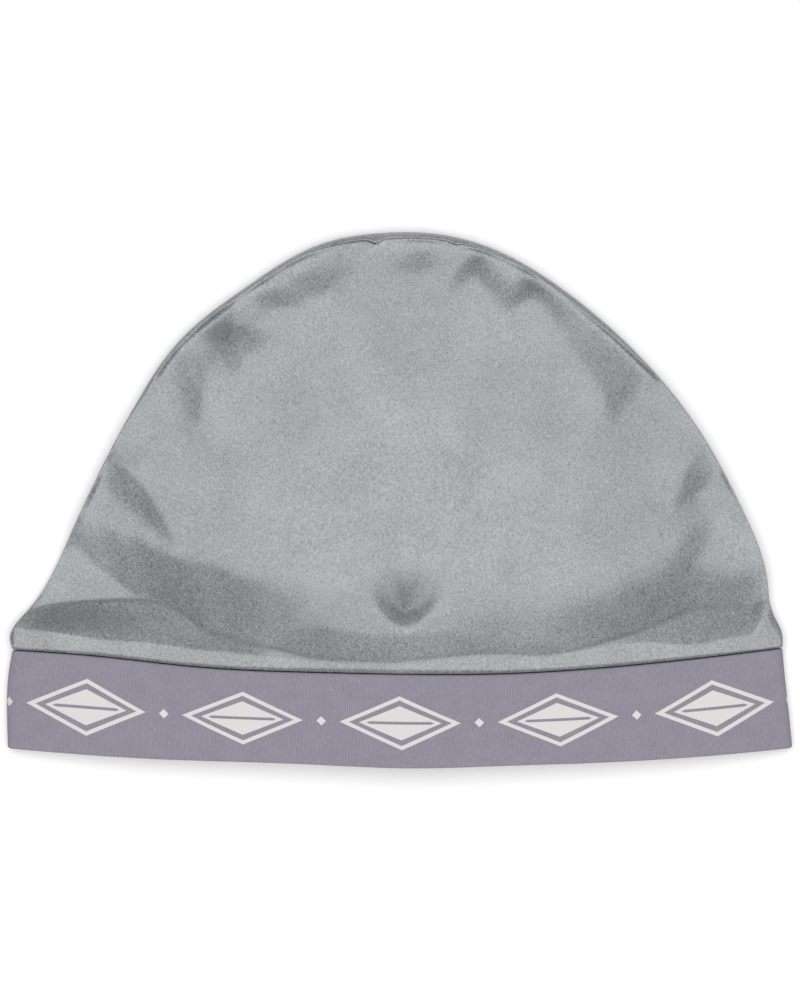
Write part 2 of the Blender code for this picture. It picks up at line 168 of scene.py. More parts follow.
@dataclass(frozen=True)
class Outline:
    """A smooth line seen from above, from the cap's left corner over the top to its right one."""

    knots: tuple[tuple[float, float], ...] = OUTLINE
    samples: int = 361

    @cached_property
    def points(self) -> np.ndarray:
        """Evenly spaced points of a smooth curve through the knots."""
        x, y = np.array(self.knots).T
        run = running(np.hypot(np.diff(x), np.diff(y)))
        fine = np.linspace(0.0, run[-1], 8 * self.samples)
        curve = np.stack([natural_spline(run, x, fine), natural_spline(run, y, fine)])
        length = running(np.hypot(*np.diff(curve)))
        even = np.linspace(0.0, length[-1], self.samples)
        return np.stack([np.interp(even, length, axis) for axis in curve], axis=1)

    def at(self, share: np.ndarray) -> tuple[np.ndarray, np.ndarray]:
        """Points of the outline at shares of its length, and the directions straight in."""
        places = np.linspace(0.0, 1.0, self.samples)
        way = np.gradient(self.points, axis=0)
        way /= np.linalg.norm(way, axis=1, keepdims=True)
        point = [np.interp(share, places, self.points[:, axis]) for axis in (0, 1)]
        tangent = [np.interp(share, places, way[:, axis]) for axis in (0, 1)]
        return np.stack(point, -1), np.stack([tangent[1], -tangent[0]], -1)

    def nearest(self, places: np.ndarray) -> tuple[np.ndarray, np.ndarray]:
        """Distance from each place to the outline, and the share of the outline nearest to it.

        The nearest sample is found first, then the nearest point of the two spans beside it:
        each place is dropped square onto a span and kept between the span's ends.
        """
        flat = places.reshape(-1, 2)
        square = (flat**2).sum(1)[:, None] - 2 * flat @ self.points.T + (self.points**2).sum(1)
        middle = np.clip(square.argmin(1), 1, self.samples - 2)
        best = np.full(len(flat), np.inf)
        share = np.zeros(len(flat))
        for first in (middle - 1, middle):
            start, span = self.points[first], self.points[first + 1] - self.points[first]
            part = ((flat - start) * span).sum(1) / (span**2).sum(1)
            part = np.clip(part, 0, 1)
            away = np.hypot(*(flat - start - span * part[:, None]).T)
            share = np.where(away < best, (first + part) / (self.samples - 1), share)
            best = np.minimum(best, away)
        return best.reshape(places.shape[:-1]), share.reshape(places.shape[:-1])


@dataclass(frozen=True)
class BandLines:
    """The band's seam and hem seen from above, its two folded ends, and how far it gapes."""

    sections: tuple[tuple[float, float, float], ...] = (
        (-125.0, -48.1, -79.65), (-95.0, -50.2, -81.65), (-65.0, -53.4, -82.95),
        (-33.0, -55.0, -83.85), (0.0, -55.7, -85.15), (33.0, -55.6, -84.55),
        (65.0, -53.7, -83.55), (95.0, -50.8, -81.95), (125.0, -47.2, -79.55),
    )
    sides: tuple[tuple[float, float, float], ...] = (
        (0.0, -123.8, 122.5), (0.22, -125.0, 123.1), (0.6, -125.6, 124.4), (1.0, -125.3, 125.7),
    )
    fold: float = 2.4
    seam_turn: float = 0.7
    rise_at_seam: float = 3.0
    rise_at_hem: float = 8.5
    rise_shape: float = 0.8
    corner_turns: tuple[float, ...] = (12.0, 25.0, 38.0, 51.0, 64.0, 77.0, 90.0)

    @property
    def corner_places(self) -> np.ndarray:
        """Distances from a folded end of the points at the corner turns: fold * (1 - cos)."""
        return self.fold * (1 - np.cos(np.radians(self.corner_turns)))

    def line(self, column: int, x: np.ndarray) -> np.ndarray:
        """Height on the page of the seam, column 1, or the hem, column 2, at x."""
        sections = np.array(self.sections)
        return natural_spline(sections[:, 0], sections[:, column], np.asarray(x, float))

    def ends(self, share: np.ndarray) -> tuple[np.ndarray, np.ndarray]:
        """Left and right end at a share of the way from seam to hem."""
        sides = np.array(self.sides)
        place = np.clip(np.asarray(share, float), 0, 1)
        left, right = (natural_spline(sides[:, 0], sides[:, c], place) for c in (1, 2))
        return left, right

    def gape(self, across: np.ndarray, share: np.ndarray) -> np.ndarray:
        """How far the front stands off the back: rise * (1 - across^2)^shape, 0 at the folds."""
        rise = self.rise_at_seam + (self.rise_at_hem - self.rise_at_seam) * share
        return rise * np.clip(1 - across**2, 0, 1) ** self.rise_shape

    def seam_height(self, x: np.ndarray) -> np.ndarray:
        """Height of the band's front at its seam: a quarter round at each fold, and the gape."""
        _, left, right = self.sides[0]
        half = (right - left) / 2
        across = np.clip((x - (left + right) / 2) / half, -1, 1)
        edge = half * (1 - np.abs(across))
        inner = np.clip(1 - edge / self.seam_turn, 0, 1)
        return self.fold + self.fold * np.sqrt(1 - inner**2) + self.gape(across, 0.0)


# ---------------------------------------------------------------- folds of the satin


class Hollow(NamedTuple):
    """A dent with straight sides that run down from its rim to its deepest point.

    The rim is given by points round the deepest one, and its reach in between by a smooth
    curve through one over the reach. The depth is d * (1 - distance / reach), rounded at the
    rim and at the point.
    """

    x: float
    y: float
    depth: float
    rim: tuple[tuple[float, float], ...]
    softness: float
    point: float

    def depth_at(self, places: np.ndarray) -> np.ndarray:
        """Depth of the dent at each place."""
        right, up = np.array(self.rim).T
        angle = np.arctan2(up, right)
        order = np.argsort(angle)
        closer = 1 / np.hypot(right, up)[order]
        round_it = np.concatenate([angle[order] + turn for turn in (-2 * np.pi, 0, 2 * np.pi)])
        off = places - (self.x, self.y)
        way = np.arctan2(off[..., 1], off[..., 0])
        part = natural_spline(round_it, np.tile(closer, 3), way)
        away = np.hypot(np.hypot(off[..., 0], off[..., 1]), self.point)
        return self.depth * corner(1 - away * part, self.softness)


@dataclass(frozen=True)
class Fold:
    """A slope that follows a line in the satin, high to the left of the line and low to its right.

    Each point of the line is the place of the slope's middle, x and y, its width there and its
    drop. Across the line the cloth goes down evenly by the drop over the width, with a rounded
    corner at the crest and at the foot. Beyond them it comes back to the plain crown as
    e^-(distance / fade)^2, so that a fold is local. Distances along it are measured on the
    straight line from the first point to the last.
    """

    points: tuple[tuple[float, float, float, float], ...]
    crest: float = 0.8
    foot: float = 0.8
    fade: float = 9.0
    turn_back: float = 1.0

    def height_at(self, places: np.ndarray) -> np.ndarray:
        """Height that the fold adds at each place, half its drop up or down at most."""
        x, y, width, drop = np.array(self.points).T
        middle = ((x[0] + x[-1]) / 2, (y[0] + y[-1]) / 2)
        turn = math.degrees(math.atan2(y[-1] - y[0], x[-1] - x[0]))
        knots, line = turned(np.stack([x, y], -1), *middle, turn)
        along, aside = turned(places, *middle, turn)
        inside = np.clip(along, knots[0], knots[-1])
        off = aside - natural_spline(knots, line, inside)
        half = eased(knots, width / 2, along)
        drop = np.clip(natural_spline(knots, drop, inside), 0, None)
        ramp = (corner(off + half, self.foot) - corner(off - half, self.crest)) / (2 * half)
        beyond = corner(np.abs(off) - half, self.turn_back)
        return drop * (ramp - 0.5) * np.exp(-((beyond / self.fade) ** 2))


FOLDS: tuple[Fold, ...] = (
    Fold((
        (-15.2, 77.8, 4.5, 0.0), (-19.7, 74.6, 7.0, 0.9), (-24.8, 70.4, 9.9, 2.0),
        (-29.3, 67.8, 9.9, 2.0), (-32.8, 66.2, 8.3, 1.5), (-37.6, 64.3, 8.6, 2.1),
        (-43.4, 62.4, 7.7, 1.6), (-47.8, 59.8, 7.7, 1.0), (-52.3, 57.3, 8.3, 2.2),
        (-57.4, 53.8, 8.6, 4.0), (-61.3, 49.6, 8.3, 2.4), (-63.8, 45.1, 10.2, 1.8),
        (-66.7, 40.3, 14.7, 2.6), (-68.3, 35.5, 16.0, 2.6), (-69.6, 30.4, 13.4, 1.3),
        (-72.5, 23.0, 6.4, 0.0),
    )),
    Fold((
        (-42.082, 55.63, 6.3, 0.0), (-45.649, 52.418, 7.65, 1.4), (-49.216, 49.206, 9.0, 2.8),
        (-52.784, 45.994, 9.0, 2.8), (-56.351, 42.782, 7.65, 1.4), (-59.918, 39.57, 6.3, 0.0),
    ), fade=7.0),
    Fold((
        (21.9, 72.6, 5.8, 0.0), (16.2, 74.2, 7.0, 0.7), (11.7, 75.5, 7.7, 1.3),
        (2.7, 75.5, 7.7, 1.3), (-1.8, 75.2, 7.0, 0.7), (-9.4, 73.9, 5.1, 0.0),
    )),
    Fold((
        (52.0, 61.8, 5.1, 0.0), (46.6, 65.3, 7.0, 1.1), (41.4, 67.5, 8.0, 2.2),
        (37.0, 65.6, 10.2, 2.0), (33.4, 65.6, 9.6, 1.5), (30.9, 68.8, 9.0, 1.4),
        (28.0, 72.6, 9.0, 1.8), (24.2, 74.9, 7.7, 2.3), (20.0, 73.3, 7.0, 1.0),
        (14.9, 69.4, 5.1, 0.0),
    )),
    Fold((
        (21.571, 75.145, 3.85, 0.0), (20.223, 71.807, 4.675, 0.45), (18.874, 68.469, 5.5, 0.9),
        (17.526, 65.131, 5.5, 0.9), (16.177, 61.793, 4.675, 0.45), (14.829, 58.455, 3.85, 0.0),
    ), fade=7.0),
    Fold((
        (71.2, 22.7, 7.7, 0.0), (71.5, 29.8, 10.9, 1.2), (71.8, 35.5, 14.7, 2.8),
        (68.6, 40.6, 14.7, 2.8), (64.2, 45.8, 12.8, 2.3), (59.7, 50.6, 10.9, 2.0),
        (54.9, 56.6, 9.6, 1.8), (51.0, 61.8, 7.7, 1.6), (47.8, 65.9, 5.8, 0.9),
        (45.6, 70.1, 3.8, 0.0),
    )),
    Fold((
        (86.612, -3.956, 1.6, 0.0), (90.922, 1.56, 5.2, 1.1), (95.847, 7.864, 9.2, 2.0),
        (100.772, 14.168, 8.4, 0.0),
    ), crest=0.5),
    Fold((
        (84.6, -25.9, 5.1, 0.0), (90.4, -18.6, 7.0, 0.8), (93.6, -14.7, 7.7, 1.1),
        (96.2, -11.2, 6.4, 0.8), (100.6, -4.2, 4.5, 0.0),
    )),
    Fold((
        (-95.8, 13.1, 5.1, 0.0), (-92.3, 9.0, 8.0, 1.6), (-89.1, 5.4, 9.6, 2.8),
        (-85.9, 2.6, 9.0, 2.5), (-82.1, -1.3, 7.4, 2.0), (-78.6, -5.4, 5.4, 1.4),
        (-75.7, -9.0, 3.8, 0.9), (-73.1, -11.8, 2.2, 0.5), (-70.6, -15.4, 1.9, 0.0),
    ), crest=0.3),
)


HEART = Hollow(1.8, -36.0, 3.6, (
    (-9.9, 3.8), (-10.9, 8.6), (-9.0, 13.4), (-5.4, 15.7), (0.0, 14.4), (6.2, 15.2),
    (10.8, 12.5), (12.5, 8.0), (11.0, 3.7), (7.8, -0.1), (4.4, -3.4), (0.3, -5.2),
    (-3.9, -3.6), (-7.4, -0.1),
), softness=0.12, point=0.3)


class Pleat(NamedTuple):
    """A place where the satin lies so deep in a fold that little light comes to it, shown by painted
    shade in the satin's colour.
    """

    x: float
    y: float
    turn: float
    along: float
    aside: float
    depth: float

    def shade_at(self, places: np.ndarray) -> np.ndarray:
        """Share of the light lost at each place: depth * e^-(r^4) over an ellipse r = 1."""
        along, aside = turned(places, self.x, self.y, self.turn)
        return self.depth * np.exp(-(((along / self.along) ** 2 + (aside / self.aside) ** 2) ** 2))


# Painted shade: each ellipse darkens the satin's colour towards black where a fold lies deep.
PLEATS: tuple[Pleat, ...] = (
    Pleat(-103.5, -38.2, -4.0, 17.5, 4.4, 0.8),
    Pleat(-57.3, 53.3, 37.0, 5.6, 3.4, 0.7),
    Pleat(2.6, -31.8, 0.0, 12.0, 8.6, 0.26),
    Pleat(1.8, -35.9, 0.0, 2.0, 1.6, 0.8),
    Pleat(92.5, 4.6, 58.0, 8.4, 4.6, 0.16),
    Pleat(-26.5, -34.8, -25.0, 14.0, 7.0, 0.3),
    Pleat(25.0, 76.4, 20.0, 4.0, 2.2, 0.4),
    Pleat(41.5, 68.8, -20.0, 4.2, 3.0, 0.4),
)


class DrawLine(NamedTuple):
    """A line along the band at which the slope of the drawn-down satin changes.

    Each knot is a place across the cap, and the line's distance above the band's seam and its
    height there.
    """

    softness: float
    knots: np.ndarray

    def at(self, x: np.ndarray) -> tuple[np.ndarray, np.ndarray]:
        """The line's distance above the seam and its height."""
        across, above, height = self.knots.T
        inside = np.clip(x, across[0], across[-1])
        return natural_spline(across, above, inside), natural_spline(across, height, inside)


class DrawnRow(NamedTuple):
    """How the satin is drawn down to the band at a place across the cap.

    Distances above the band's seam of the strip's upper edge, the crease, the facet's upper
    edge and the crest, where the crown begins. Then the falls of the strip and of the satin
    above it, and the facet's rise.
    """

    x: float
    strip: float
    crease: float
    facet: float
    crest: float
    strip_fall: float
    fall: float
    rise: float


DRAWN: tuple[DrawnRow, ...] = (
    DrawnRow(-123.0, 6.6, 10.1, 14.6, 18.5, 0.08, 0.35, 0.1),
    DrawnRow(-118.2, 6.2, 12.6, 16.8, 20.6, 0.08, 0.42, 0.1),
    DrawnRow(-108.6, 6.2, 15.5, 30.9, 39.8, 0.06, 0.5, 0.1),
    DrawnRow(-102.2, 5.6, 16.6, 32.9, 44.1, 0.04, 0.5, 0.08),
    DrawnRow(-95.8, 5.0, 17.5, 27.1, 43.4, 0.04, 0.49, 0.08),
    DrawnRow(-89.4, 5.2, 18.5, 23.3, 40.5, 0.04, 0.42, 0.08),
    DrawnRow(-84.6, 5.5, 19.0, 20.3, 39.5, 0.06, 0.39, 0.1),
    DrawnRow(-79.8, 5.8, 19.2, 20.2, 36.8, 0.08, 0.38, 0.2),
    DrawnRow(-70.2, 5.5, 16.4, 17.4, 34.7, 0.08, 0.41, 0.3),
    DrawnRow(-63.8, 5.2, 12.5, 13.8, 34.3, 0.08, 0.41, 0.3),
    DrawnRow(-55.8, 5.1, 10.2, 11.5, 32.6, 0.08, 0.41, 0.3),
    DrawnRow(-47.8, 4.6, 8.4, 9.4, 30.8, 0.08, 0.4, 0.3),
    DrawnRow(-39.8, 4.1, 7.1, 8.7, 29.8, 0.08, 0.3, 0.29),
    DrawnRow(-31.8, 3.5, 5.4, 13.1, 26.9, 0.06, 0.3, 0.32),
    DrawnRow(-15.8, 2.9, 3.6, 13.5, 23.7, 0.05, 0.05, 0.32),
    DrawnRow(0.2, 2.9, 3.5, 12.5, 22.1, 0.05, 0.0, 0.31),
    DrawnRow(16.2, 4.6, 5.3, 13.3, 23.5, 0.05, 0.0, 0.32),
    DrawnRow(32.2, 5.2, 5.9, 9.5, 24.6, 0.05, 0.0, 0.3),
    DrawnRow(48.2, 4.3, 5.1, 8.8, 24.5, 0.05, 0.0, 0.32),
    DrawnRow(64.2, 6.1, 7.7, 10.2, 25.3, 0.06, 0.2, 0.31),
    DrawnRow(80.2, 6.4, 11.4, 12.7, 28.7, 0.08, 0.36, 0.28),
    DrawnRow(96.2, 4.0, 15.5, 16.4, 30.5, 0.08, 0.385, 0.29),
    DrawnRow(109.0, 4.9, 14.9, 15.9, 27.1, 0.08, 0.4, 0.33),
    DrawnRow(112.8, 5.5, 14.8, 15.8, 27.3, 0.08, 0.4, 0.3),
    DrawnRow(117.0, 11.1, 15.2, 16.2, 28.0, 0.12, 0.3, 0.28),
    DrawnRow(123.4, 10.3, 11.6, 12.5, 18.3, 0.1, 0.1, 0.2),
)


# ---------------------------------------------------------------- the crown's surface


@dataclass(frozen=True)
class CrownShape:
    """Heights of the satin crown, and the painted shade of its crease, as functions of the place
    seen from above.
    """

    outline: Outline = field(default_factory=Outline)
    lines: BandLines = field(default_factory=BandLines)
    middle: tuple[float, float] = (0.0, 6.0)
    dome_rise: float = 7.0
    dome_reach: float = 64.0
    lip_width_side: float = 0.14
    lip_width_per_seam: float = 1.1
    lip_rise_side: float = 3.6
    lip_rise_top: float = 5.0
    lip_rise_within: float = 4.2
    lip_even_by: float = 70.0
    seam_roll: tuple[tuple[float, float], ...] = (
        (0.0, 0.1), (0.2, 0.2), (0.25, 0.9), (0.31, 1.2), (0.4, 1.3), (0.45, 2.0),
        (0.471, 2.3), (0.479, 3.8), (0.487, 2.4), (0.54, 2.2), (0.5465, 2.8), (0.553, 2.1),
        (0.575, 1.7), (0.62, 1.3), (0.68, 1.6), (0.72, 1.2), (0.755, 0.3), (0.8, 0.15), (1.0, 0.1),
    )
    groove_depth: float = 0.2
    groove_width: float = 0.35
    seam_gap: float = 0.3
    ridge_rise: float = 1.1
    ridge_reach: tuple[tuple[float, float], ...] = (
        (-124.0, 0.45), (-40.0, 0.5), (-10.0, 0.9), (10.0, 0.9), (30.0, 0.5), (123.0, 0.45),
    )
    drawn_rows: tuple[DrawnRow, ...] = DRAWN
    turn_softness: tuple[float, float, float, float] = (0.12, 0.1, 0.5, 0.5)
    least_crease: float = 1.9
    beyond: float = 0.3
    blend: tuple[tuple[float, float], ...] = (
        (-120.0, 0.3), (-50.0, 0.35), (-20.0, 1.0), (0.0, 1.0), (50.0, 0.9), (120.0, 0.6),
    )
    least_blend: float = 0.01
    fold_clear: float = 1.1
    lowest: float = 1.8
    # The painted shade in the crease where the drawn-down satin turns up again: its width, strength
    # and the turns that set it.
    crease_width: float = 0.85
    crease_shade: float = 0.9
    open_turn: float = 0.2
    closed_turn: float = 0.3
    foot_softness: float = 0.02
    least_run: float = 0.2
    start_softness: float = 0.8
    rim_blend: float = 3.0
    edge_rise: float = 0.2
    edge_reach: float = 2.0
    steepest: float = 0.995
    body: Outline = Outline(BODY_LINE)
    folds: tuple[Fold, ...] = FOLDS
    hollows: tuple[Hollow, ...] = (HEART,)

    def seam_width(self, share: np.ndarray) -> np.ndarray:
        """Distance from the outline in to the crown seam at a share of the outline."""
        share_knots, width = np.array(self.seam_roll).T
        return eased(share_knots, width, share)

    def lip_size(self, share: np.ndarray) -> tuple[np.ndarray, np.ndarray]:
        """Width and rise of the rounded edge at a share of the outline."""
        width = self.lip_width_side + self.lip_width_per_seam * self.seam_width(share)
        rise = self.lip_rise_top - self.lip_rise_side
        return width, self.lip_rise_side + rise * np.sin(math.pi * np.clip(share, 0, 1))

    def dome(self, inward: np.ndarray) -> np.ndarray:
        """Fullness of the crown: rise * the eased part that distance in is of reach."""
        return self.dome_rise * eased_part(inward / self.dome_reach)

    def groove(self, inward: np.ndarray, share: np.ndarray) -> np.ndarray:
        """Depth that the crown seam is drawn in: depth * e^-((distance from it) / width)^2."""
        off = (inward - self.seam_width(share)) / self.groove_width
        return self.groove_depth * np.exp(-(off**2)) * np.clip(self.seam_width(share), 0, 1)

    def lip(self, inward: np.ndarray, share: np.ndarray) -> np.ndarray:
        """Quarter of an ellipse along the outline, evened out further in."""
        width, rise = self.lip_size(share)
        left = np.clip(1 - inward / width, 0, 1)
        even = eased_part(inward / self.lip_even_by)
        rise = rise * (1 - even) + self.lip_rise_within * even
        return self.lines.fold + rise * np.sqrt(1 - left**2)

    def lip_slope(self, inward: np.ndarray, share: np.ndarray) -> np.ndarray:
        """Slope of that ellipse at a distance in from the outline."""
        width, rise = self.lip_size(share)
        left = np.clip(1 - inward / width, 0, self.steepest)
        return rise / width * left / np.sqrt(1 - left**2)

    def foot(self, x: np.ndarray) -> np.ndarray:
        """Height on the page of the crown's lower edge, just above the band's seam."""
        return self.lines.line(1, x) + self.seam_gap / 2

    def above_seam(self, places: np.ndarray) -> np.ndarray:
        """Distance of each place above the crown's lower edge."""
        return np.clip(places[..., 1] - self.foot(places[..., 0]), 0, None)

    @cached_property
    def draw_lines(self) -> tuple[DrawLine, ...]:
        """The lines of the rows' four distances, with the satin's height along each.

        It falls from the band's seam over the strip and on to the crease, rises over the
        facet, and meets the crown at the crest.
        """
        x, strip, crease, facet, crest, strip_fall, fall, rise = np.array(self.drawn_rows).T
        top = self.lines.seam_height(x) + self.ridge_rise - strip_fall * strip
        low = np.maximum(top - fall * (crease - strip), self.least_crease)
        turn = low + rise * (facet - crease)
        place = np.stack([x, self.lines.line(1, x) + crest], -1)
        crown = self.lip(*self.outline.nearest(place)) + self.dome(self.body.nearest(place)[0])
        lines = zip(self.turn_softness, (strip, crease, facet, crest), (top, low, turn, crown))
        return tuple(DrawLine(soft, np.stack([x, above, height], -1))
                     for soft, above, height in lines)

    def drawn(self, x: np.ndarray, above: np.ndarray) -> np.ndarray:
        """Height of the satin drawn down to the band.

        It rolls up from the seam as a ridge, rise * (1 - e^(-above / reach)), and goes on
        straight from one line along the band to the next: at each line the height gains the
        change of slope times the distance beyond it, rounded.

        Args:
            x: Places across the cap.
            above: Distance of each above the band's seam.

        Returns:
            The height at each place.
        """
        reach = eased(*np.array(self.ridge_reach).T, x)
        level = self.lines.seam_height(x) + self.ridge_rise
        height = level - self.ridge_rise * np.exp(-above / reach)
        start, slope, softness = np.zeros_like(x), np.zeros_like(x), self.foot_softness
        for line in self.draw_lines:
            place, rise = line.at(x)
            following = (rise - level) / np.maximum(place - start, self.least_run)
            height = height + (following - slope) * corner(above - start, softness)
            start, level, slope, softness = place, rise, following, line.softness
        return height + (self.beyond - slope) * corner(above - start, softness)

    def front(
        self, places: np.ndarray, inward: np.ndarray | None = None, share: np.ndarray | None = None
    ) -> np.ndarray:
        """Height of the front panel's outer face.

        The lower of the puffed crown, lip plus dome, and the satin drawn down to the band
        holds, -b * log(e^(-crown / b) + e^(-drawn / b)). Folds and hollows are added, less
        near seams, and the crown seam's groove is taken off.

        Args:
            places: Points seen from above.
            inward: Distance of each place from the outline, where it is known.
            share: Share of the outline nearest to each place, where it is known.

        Returns:
            The height at each place.
        """
        if inward is None or share is None:
            inward, share = self.outline.nearest(places)
        x, above = places[..., 0], self.above_seam(places)
        crown = self.lip(inward, share) + self.dome(self.body.nearest(places)[0])
        drawn = self.drawn(x, above)
        start, _ = self.draw_lines[0].at(x)
        seam_free = 1 - np.exp(-((above / self.fold_clear) ** 2))
        rim_free = np.clip(inward - self.seam_width(share), 0, None)
        near = np.minimum(seam_free, rim_free / self.rim_blend).clip(0, 1)
        blend = eased(*np.array(self.blend).T, x) * (self.least_blend + near)
        height = -blend * np.logaddexp(-crown / blend, -drawn / blend)
        free = np.minimum(corner(above - start, self.start_softness), rim_free)
        fade = 1 - np.exp(-((free / self.fold_clear) ** 2))
        folds = sum(fold.height_at(places) for fold in self.folds)
        hollows = sum(hollow.depth_at(places) for hollow in self.hollows)
        height = height + fade * (folds - hollows) - self.groove(inward, share)
        edge = self.lines.fold + self.edge_rise - self.lowest
        least = self.lowest + edge * np.exp(-((inward / self.edge_reach) ** 2))
        return np.maximum(height, least)

    def crease(self, places: np.ndarray) -> np.ndarray:
        """Painted shade: the share of the light lost in the crease where the drawn-down satin turns
        up again.

        It is shade * e^-(distance / width)^2 from that line, times the part that the turn
        there, beyond an open one, is of the turn that closes a crease.
        """
        x, above = places[..., 0], self.above_seam(places)
        (start, top), (foot, low), (end, rise) = (line.at(x) for line in self.draw_lines[:3])
        fall = (top - low) / np.maximum(foot - start, self.least_run)
        climb = (rise - low) / np.maximum(end - foot, self.least_run)
        turn = np.clip((fall + climb - self.open_turn) / self.closed_turn, 0, 1)
        return self.crease_shade * turn * np.exp(-(((above - foot) / self.crease_width) ** 2))


# ---------------------------------------------------------------- meshes


def ring_mesh(name: str, places: np.ndarray, chart: np.ndarray, poles: bool) -> bpy.types.Object:
    """A closed mesh of a grid wrapped round its first axis, with a UV map in millimetres.

    Cell (i, j) has the corners (i, j), (i+1, j), (i+1, j+1) and (i, j+1), where i+1 goes back
    to 0 after the last. With poles, the first and last column are single points joined by
    triangles; without, the second axis is wrapped as well. The volume's sign, the sum of
    a . (b x c) over all triangles, tells which way the faces point, and they are turned out.

    Args:
        name: Name of the piece.
        places: Points in millimetres, in an array of (around, profile, 3).
        chart: UV of each point, in an array of (around + 1, profile or profile + 1, 2).
        poles: Whether the first and last column are points.

    Returns:
        The object, in metres.
    """
    around, profile = places.shape[:2]
    i, j = np.meshgrid(np.arange(around), np.arange(profile), indexing="ij")
    number = i * profile + j
    following = (i + 1) % around * profile + j
    if poles:
        number[:, 0], following[:, 0] = 0, 0
        number[:, -1], following[:, -1] = profile - 1, profile - 1
        places = places.copy()
        places[0, 0], places[0, -1] = places[:, 0].mean(0), places[:, -1].mean(0)
        a, b, c, d = number[:, :-1], following[:, :-1], following[:, 1:], number[:, 1:]
        i, j = i[:, :-1], j[:, :-1]
    else:
        wrapped = (j + 1) % profile
        a, b = number, following
        c, d = (i + 1) % around * profile + wrapped, i * profile + wrapped
    where = [(i + x, j + y) for x, y in ((0, 0), (1, 0), (1, 1), (0, 1))]
    cells = np.stack([a, b, c, d], -1).reshape(-1, 4)
    charts = np.stack([chart[x, y] for x, y in where], -2).reshape(-1, 4, 2)
    points = places.reshape(-1, 3) * MM
    p, q, r, s = (points[cells[:, k]] for k in range(4))
    volume = (p * (np.cross(q, r) + np.cross(r, s))).sum()
    if volume < 0:
        cells, charts = cells[:, ::-1], charts[:, ::-1]
    corners = np.ones(cells.shape, bool)
    corners[:, 1:] = cells[:, 1:] != cells[:, :-1]
    corners[:, 0] = cells[:, 0] != cells[:, -1]
    used, loops = np.unique(cells[corners], return_inverse=True)
    counts = corners.sum(1)
    mesh = bpy.data.meshes.new(name)
    mesh.vertices.add(len(used))
    mesh.vertices.foreach_set("co", points[used].ravel())
    mesh.loops.add(len(loops))
    mesh.loops.foreach_set("vertex_index", loops.astype(np.int32).ravel())
    mesh.polygons.add(len(counts))
    mesh.polygons.foreach_set("loop_start", (np.cumsum(counts) - counts).astype(np.int32))
    mesh.update(calc_edges=True)
    layer = mesh.uv_layers.new(name="cloth")
    layer.uv.foreach_set("vector", charts[corners].astype(np.float32).ravel())
    mesh.shade_smooth()
    piece = bpy.data.objects.new(name, mesh)
    bpy.context.scene.collection.objects.link(piece)
    return piece


def cloth_area(piece: bpy.types.Object) -> float:
    """Area of one face of a piece of cloth that is modelled as a closed wall, in square metres."""
    mesh = piece.data
    areas = np.empty(len(mesh.polygons))
    mesh.polygons.foreach_get("area", areas)
    return float(areas.sum()) / 2


@dataclass(frozen=True)
class Sheet:
    """The cloth of a piece: the node it stands for, what it was cut to, and how it lies."""

    node: str
    slot: Slot
    width: float
    length: float
    share: float
    held: Held
    rests_on: tuple[str, ...] = ()

    def dress(self, piece: bpy.types.Object, cloth: bpy.types.Material) -> None:
        """Give a piece its cloth and its place, and log its cloth's area beside a flat area of share
        * width * length.
        """
        piece.data.materials.append(cloth)
        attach(piece, "root")
        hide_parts(self.node)
        flat = (self.width * MM, self.length * MM)
        area = self.share * flat[0] * flat[1]
        log.info("%s: %.4f m2 of cloth, cut %.4f m2", piece.name, cloth_area(piece), area)


# ---------------------------------------------------------------- finishes


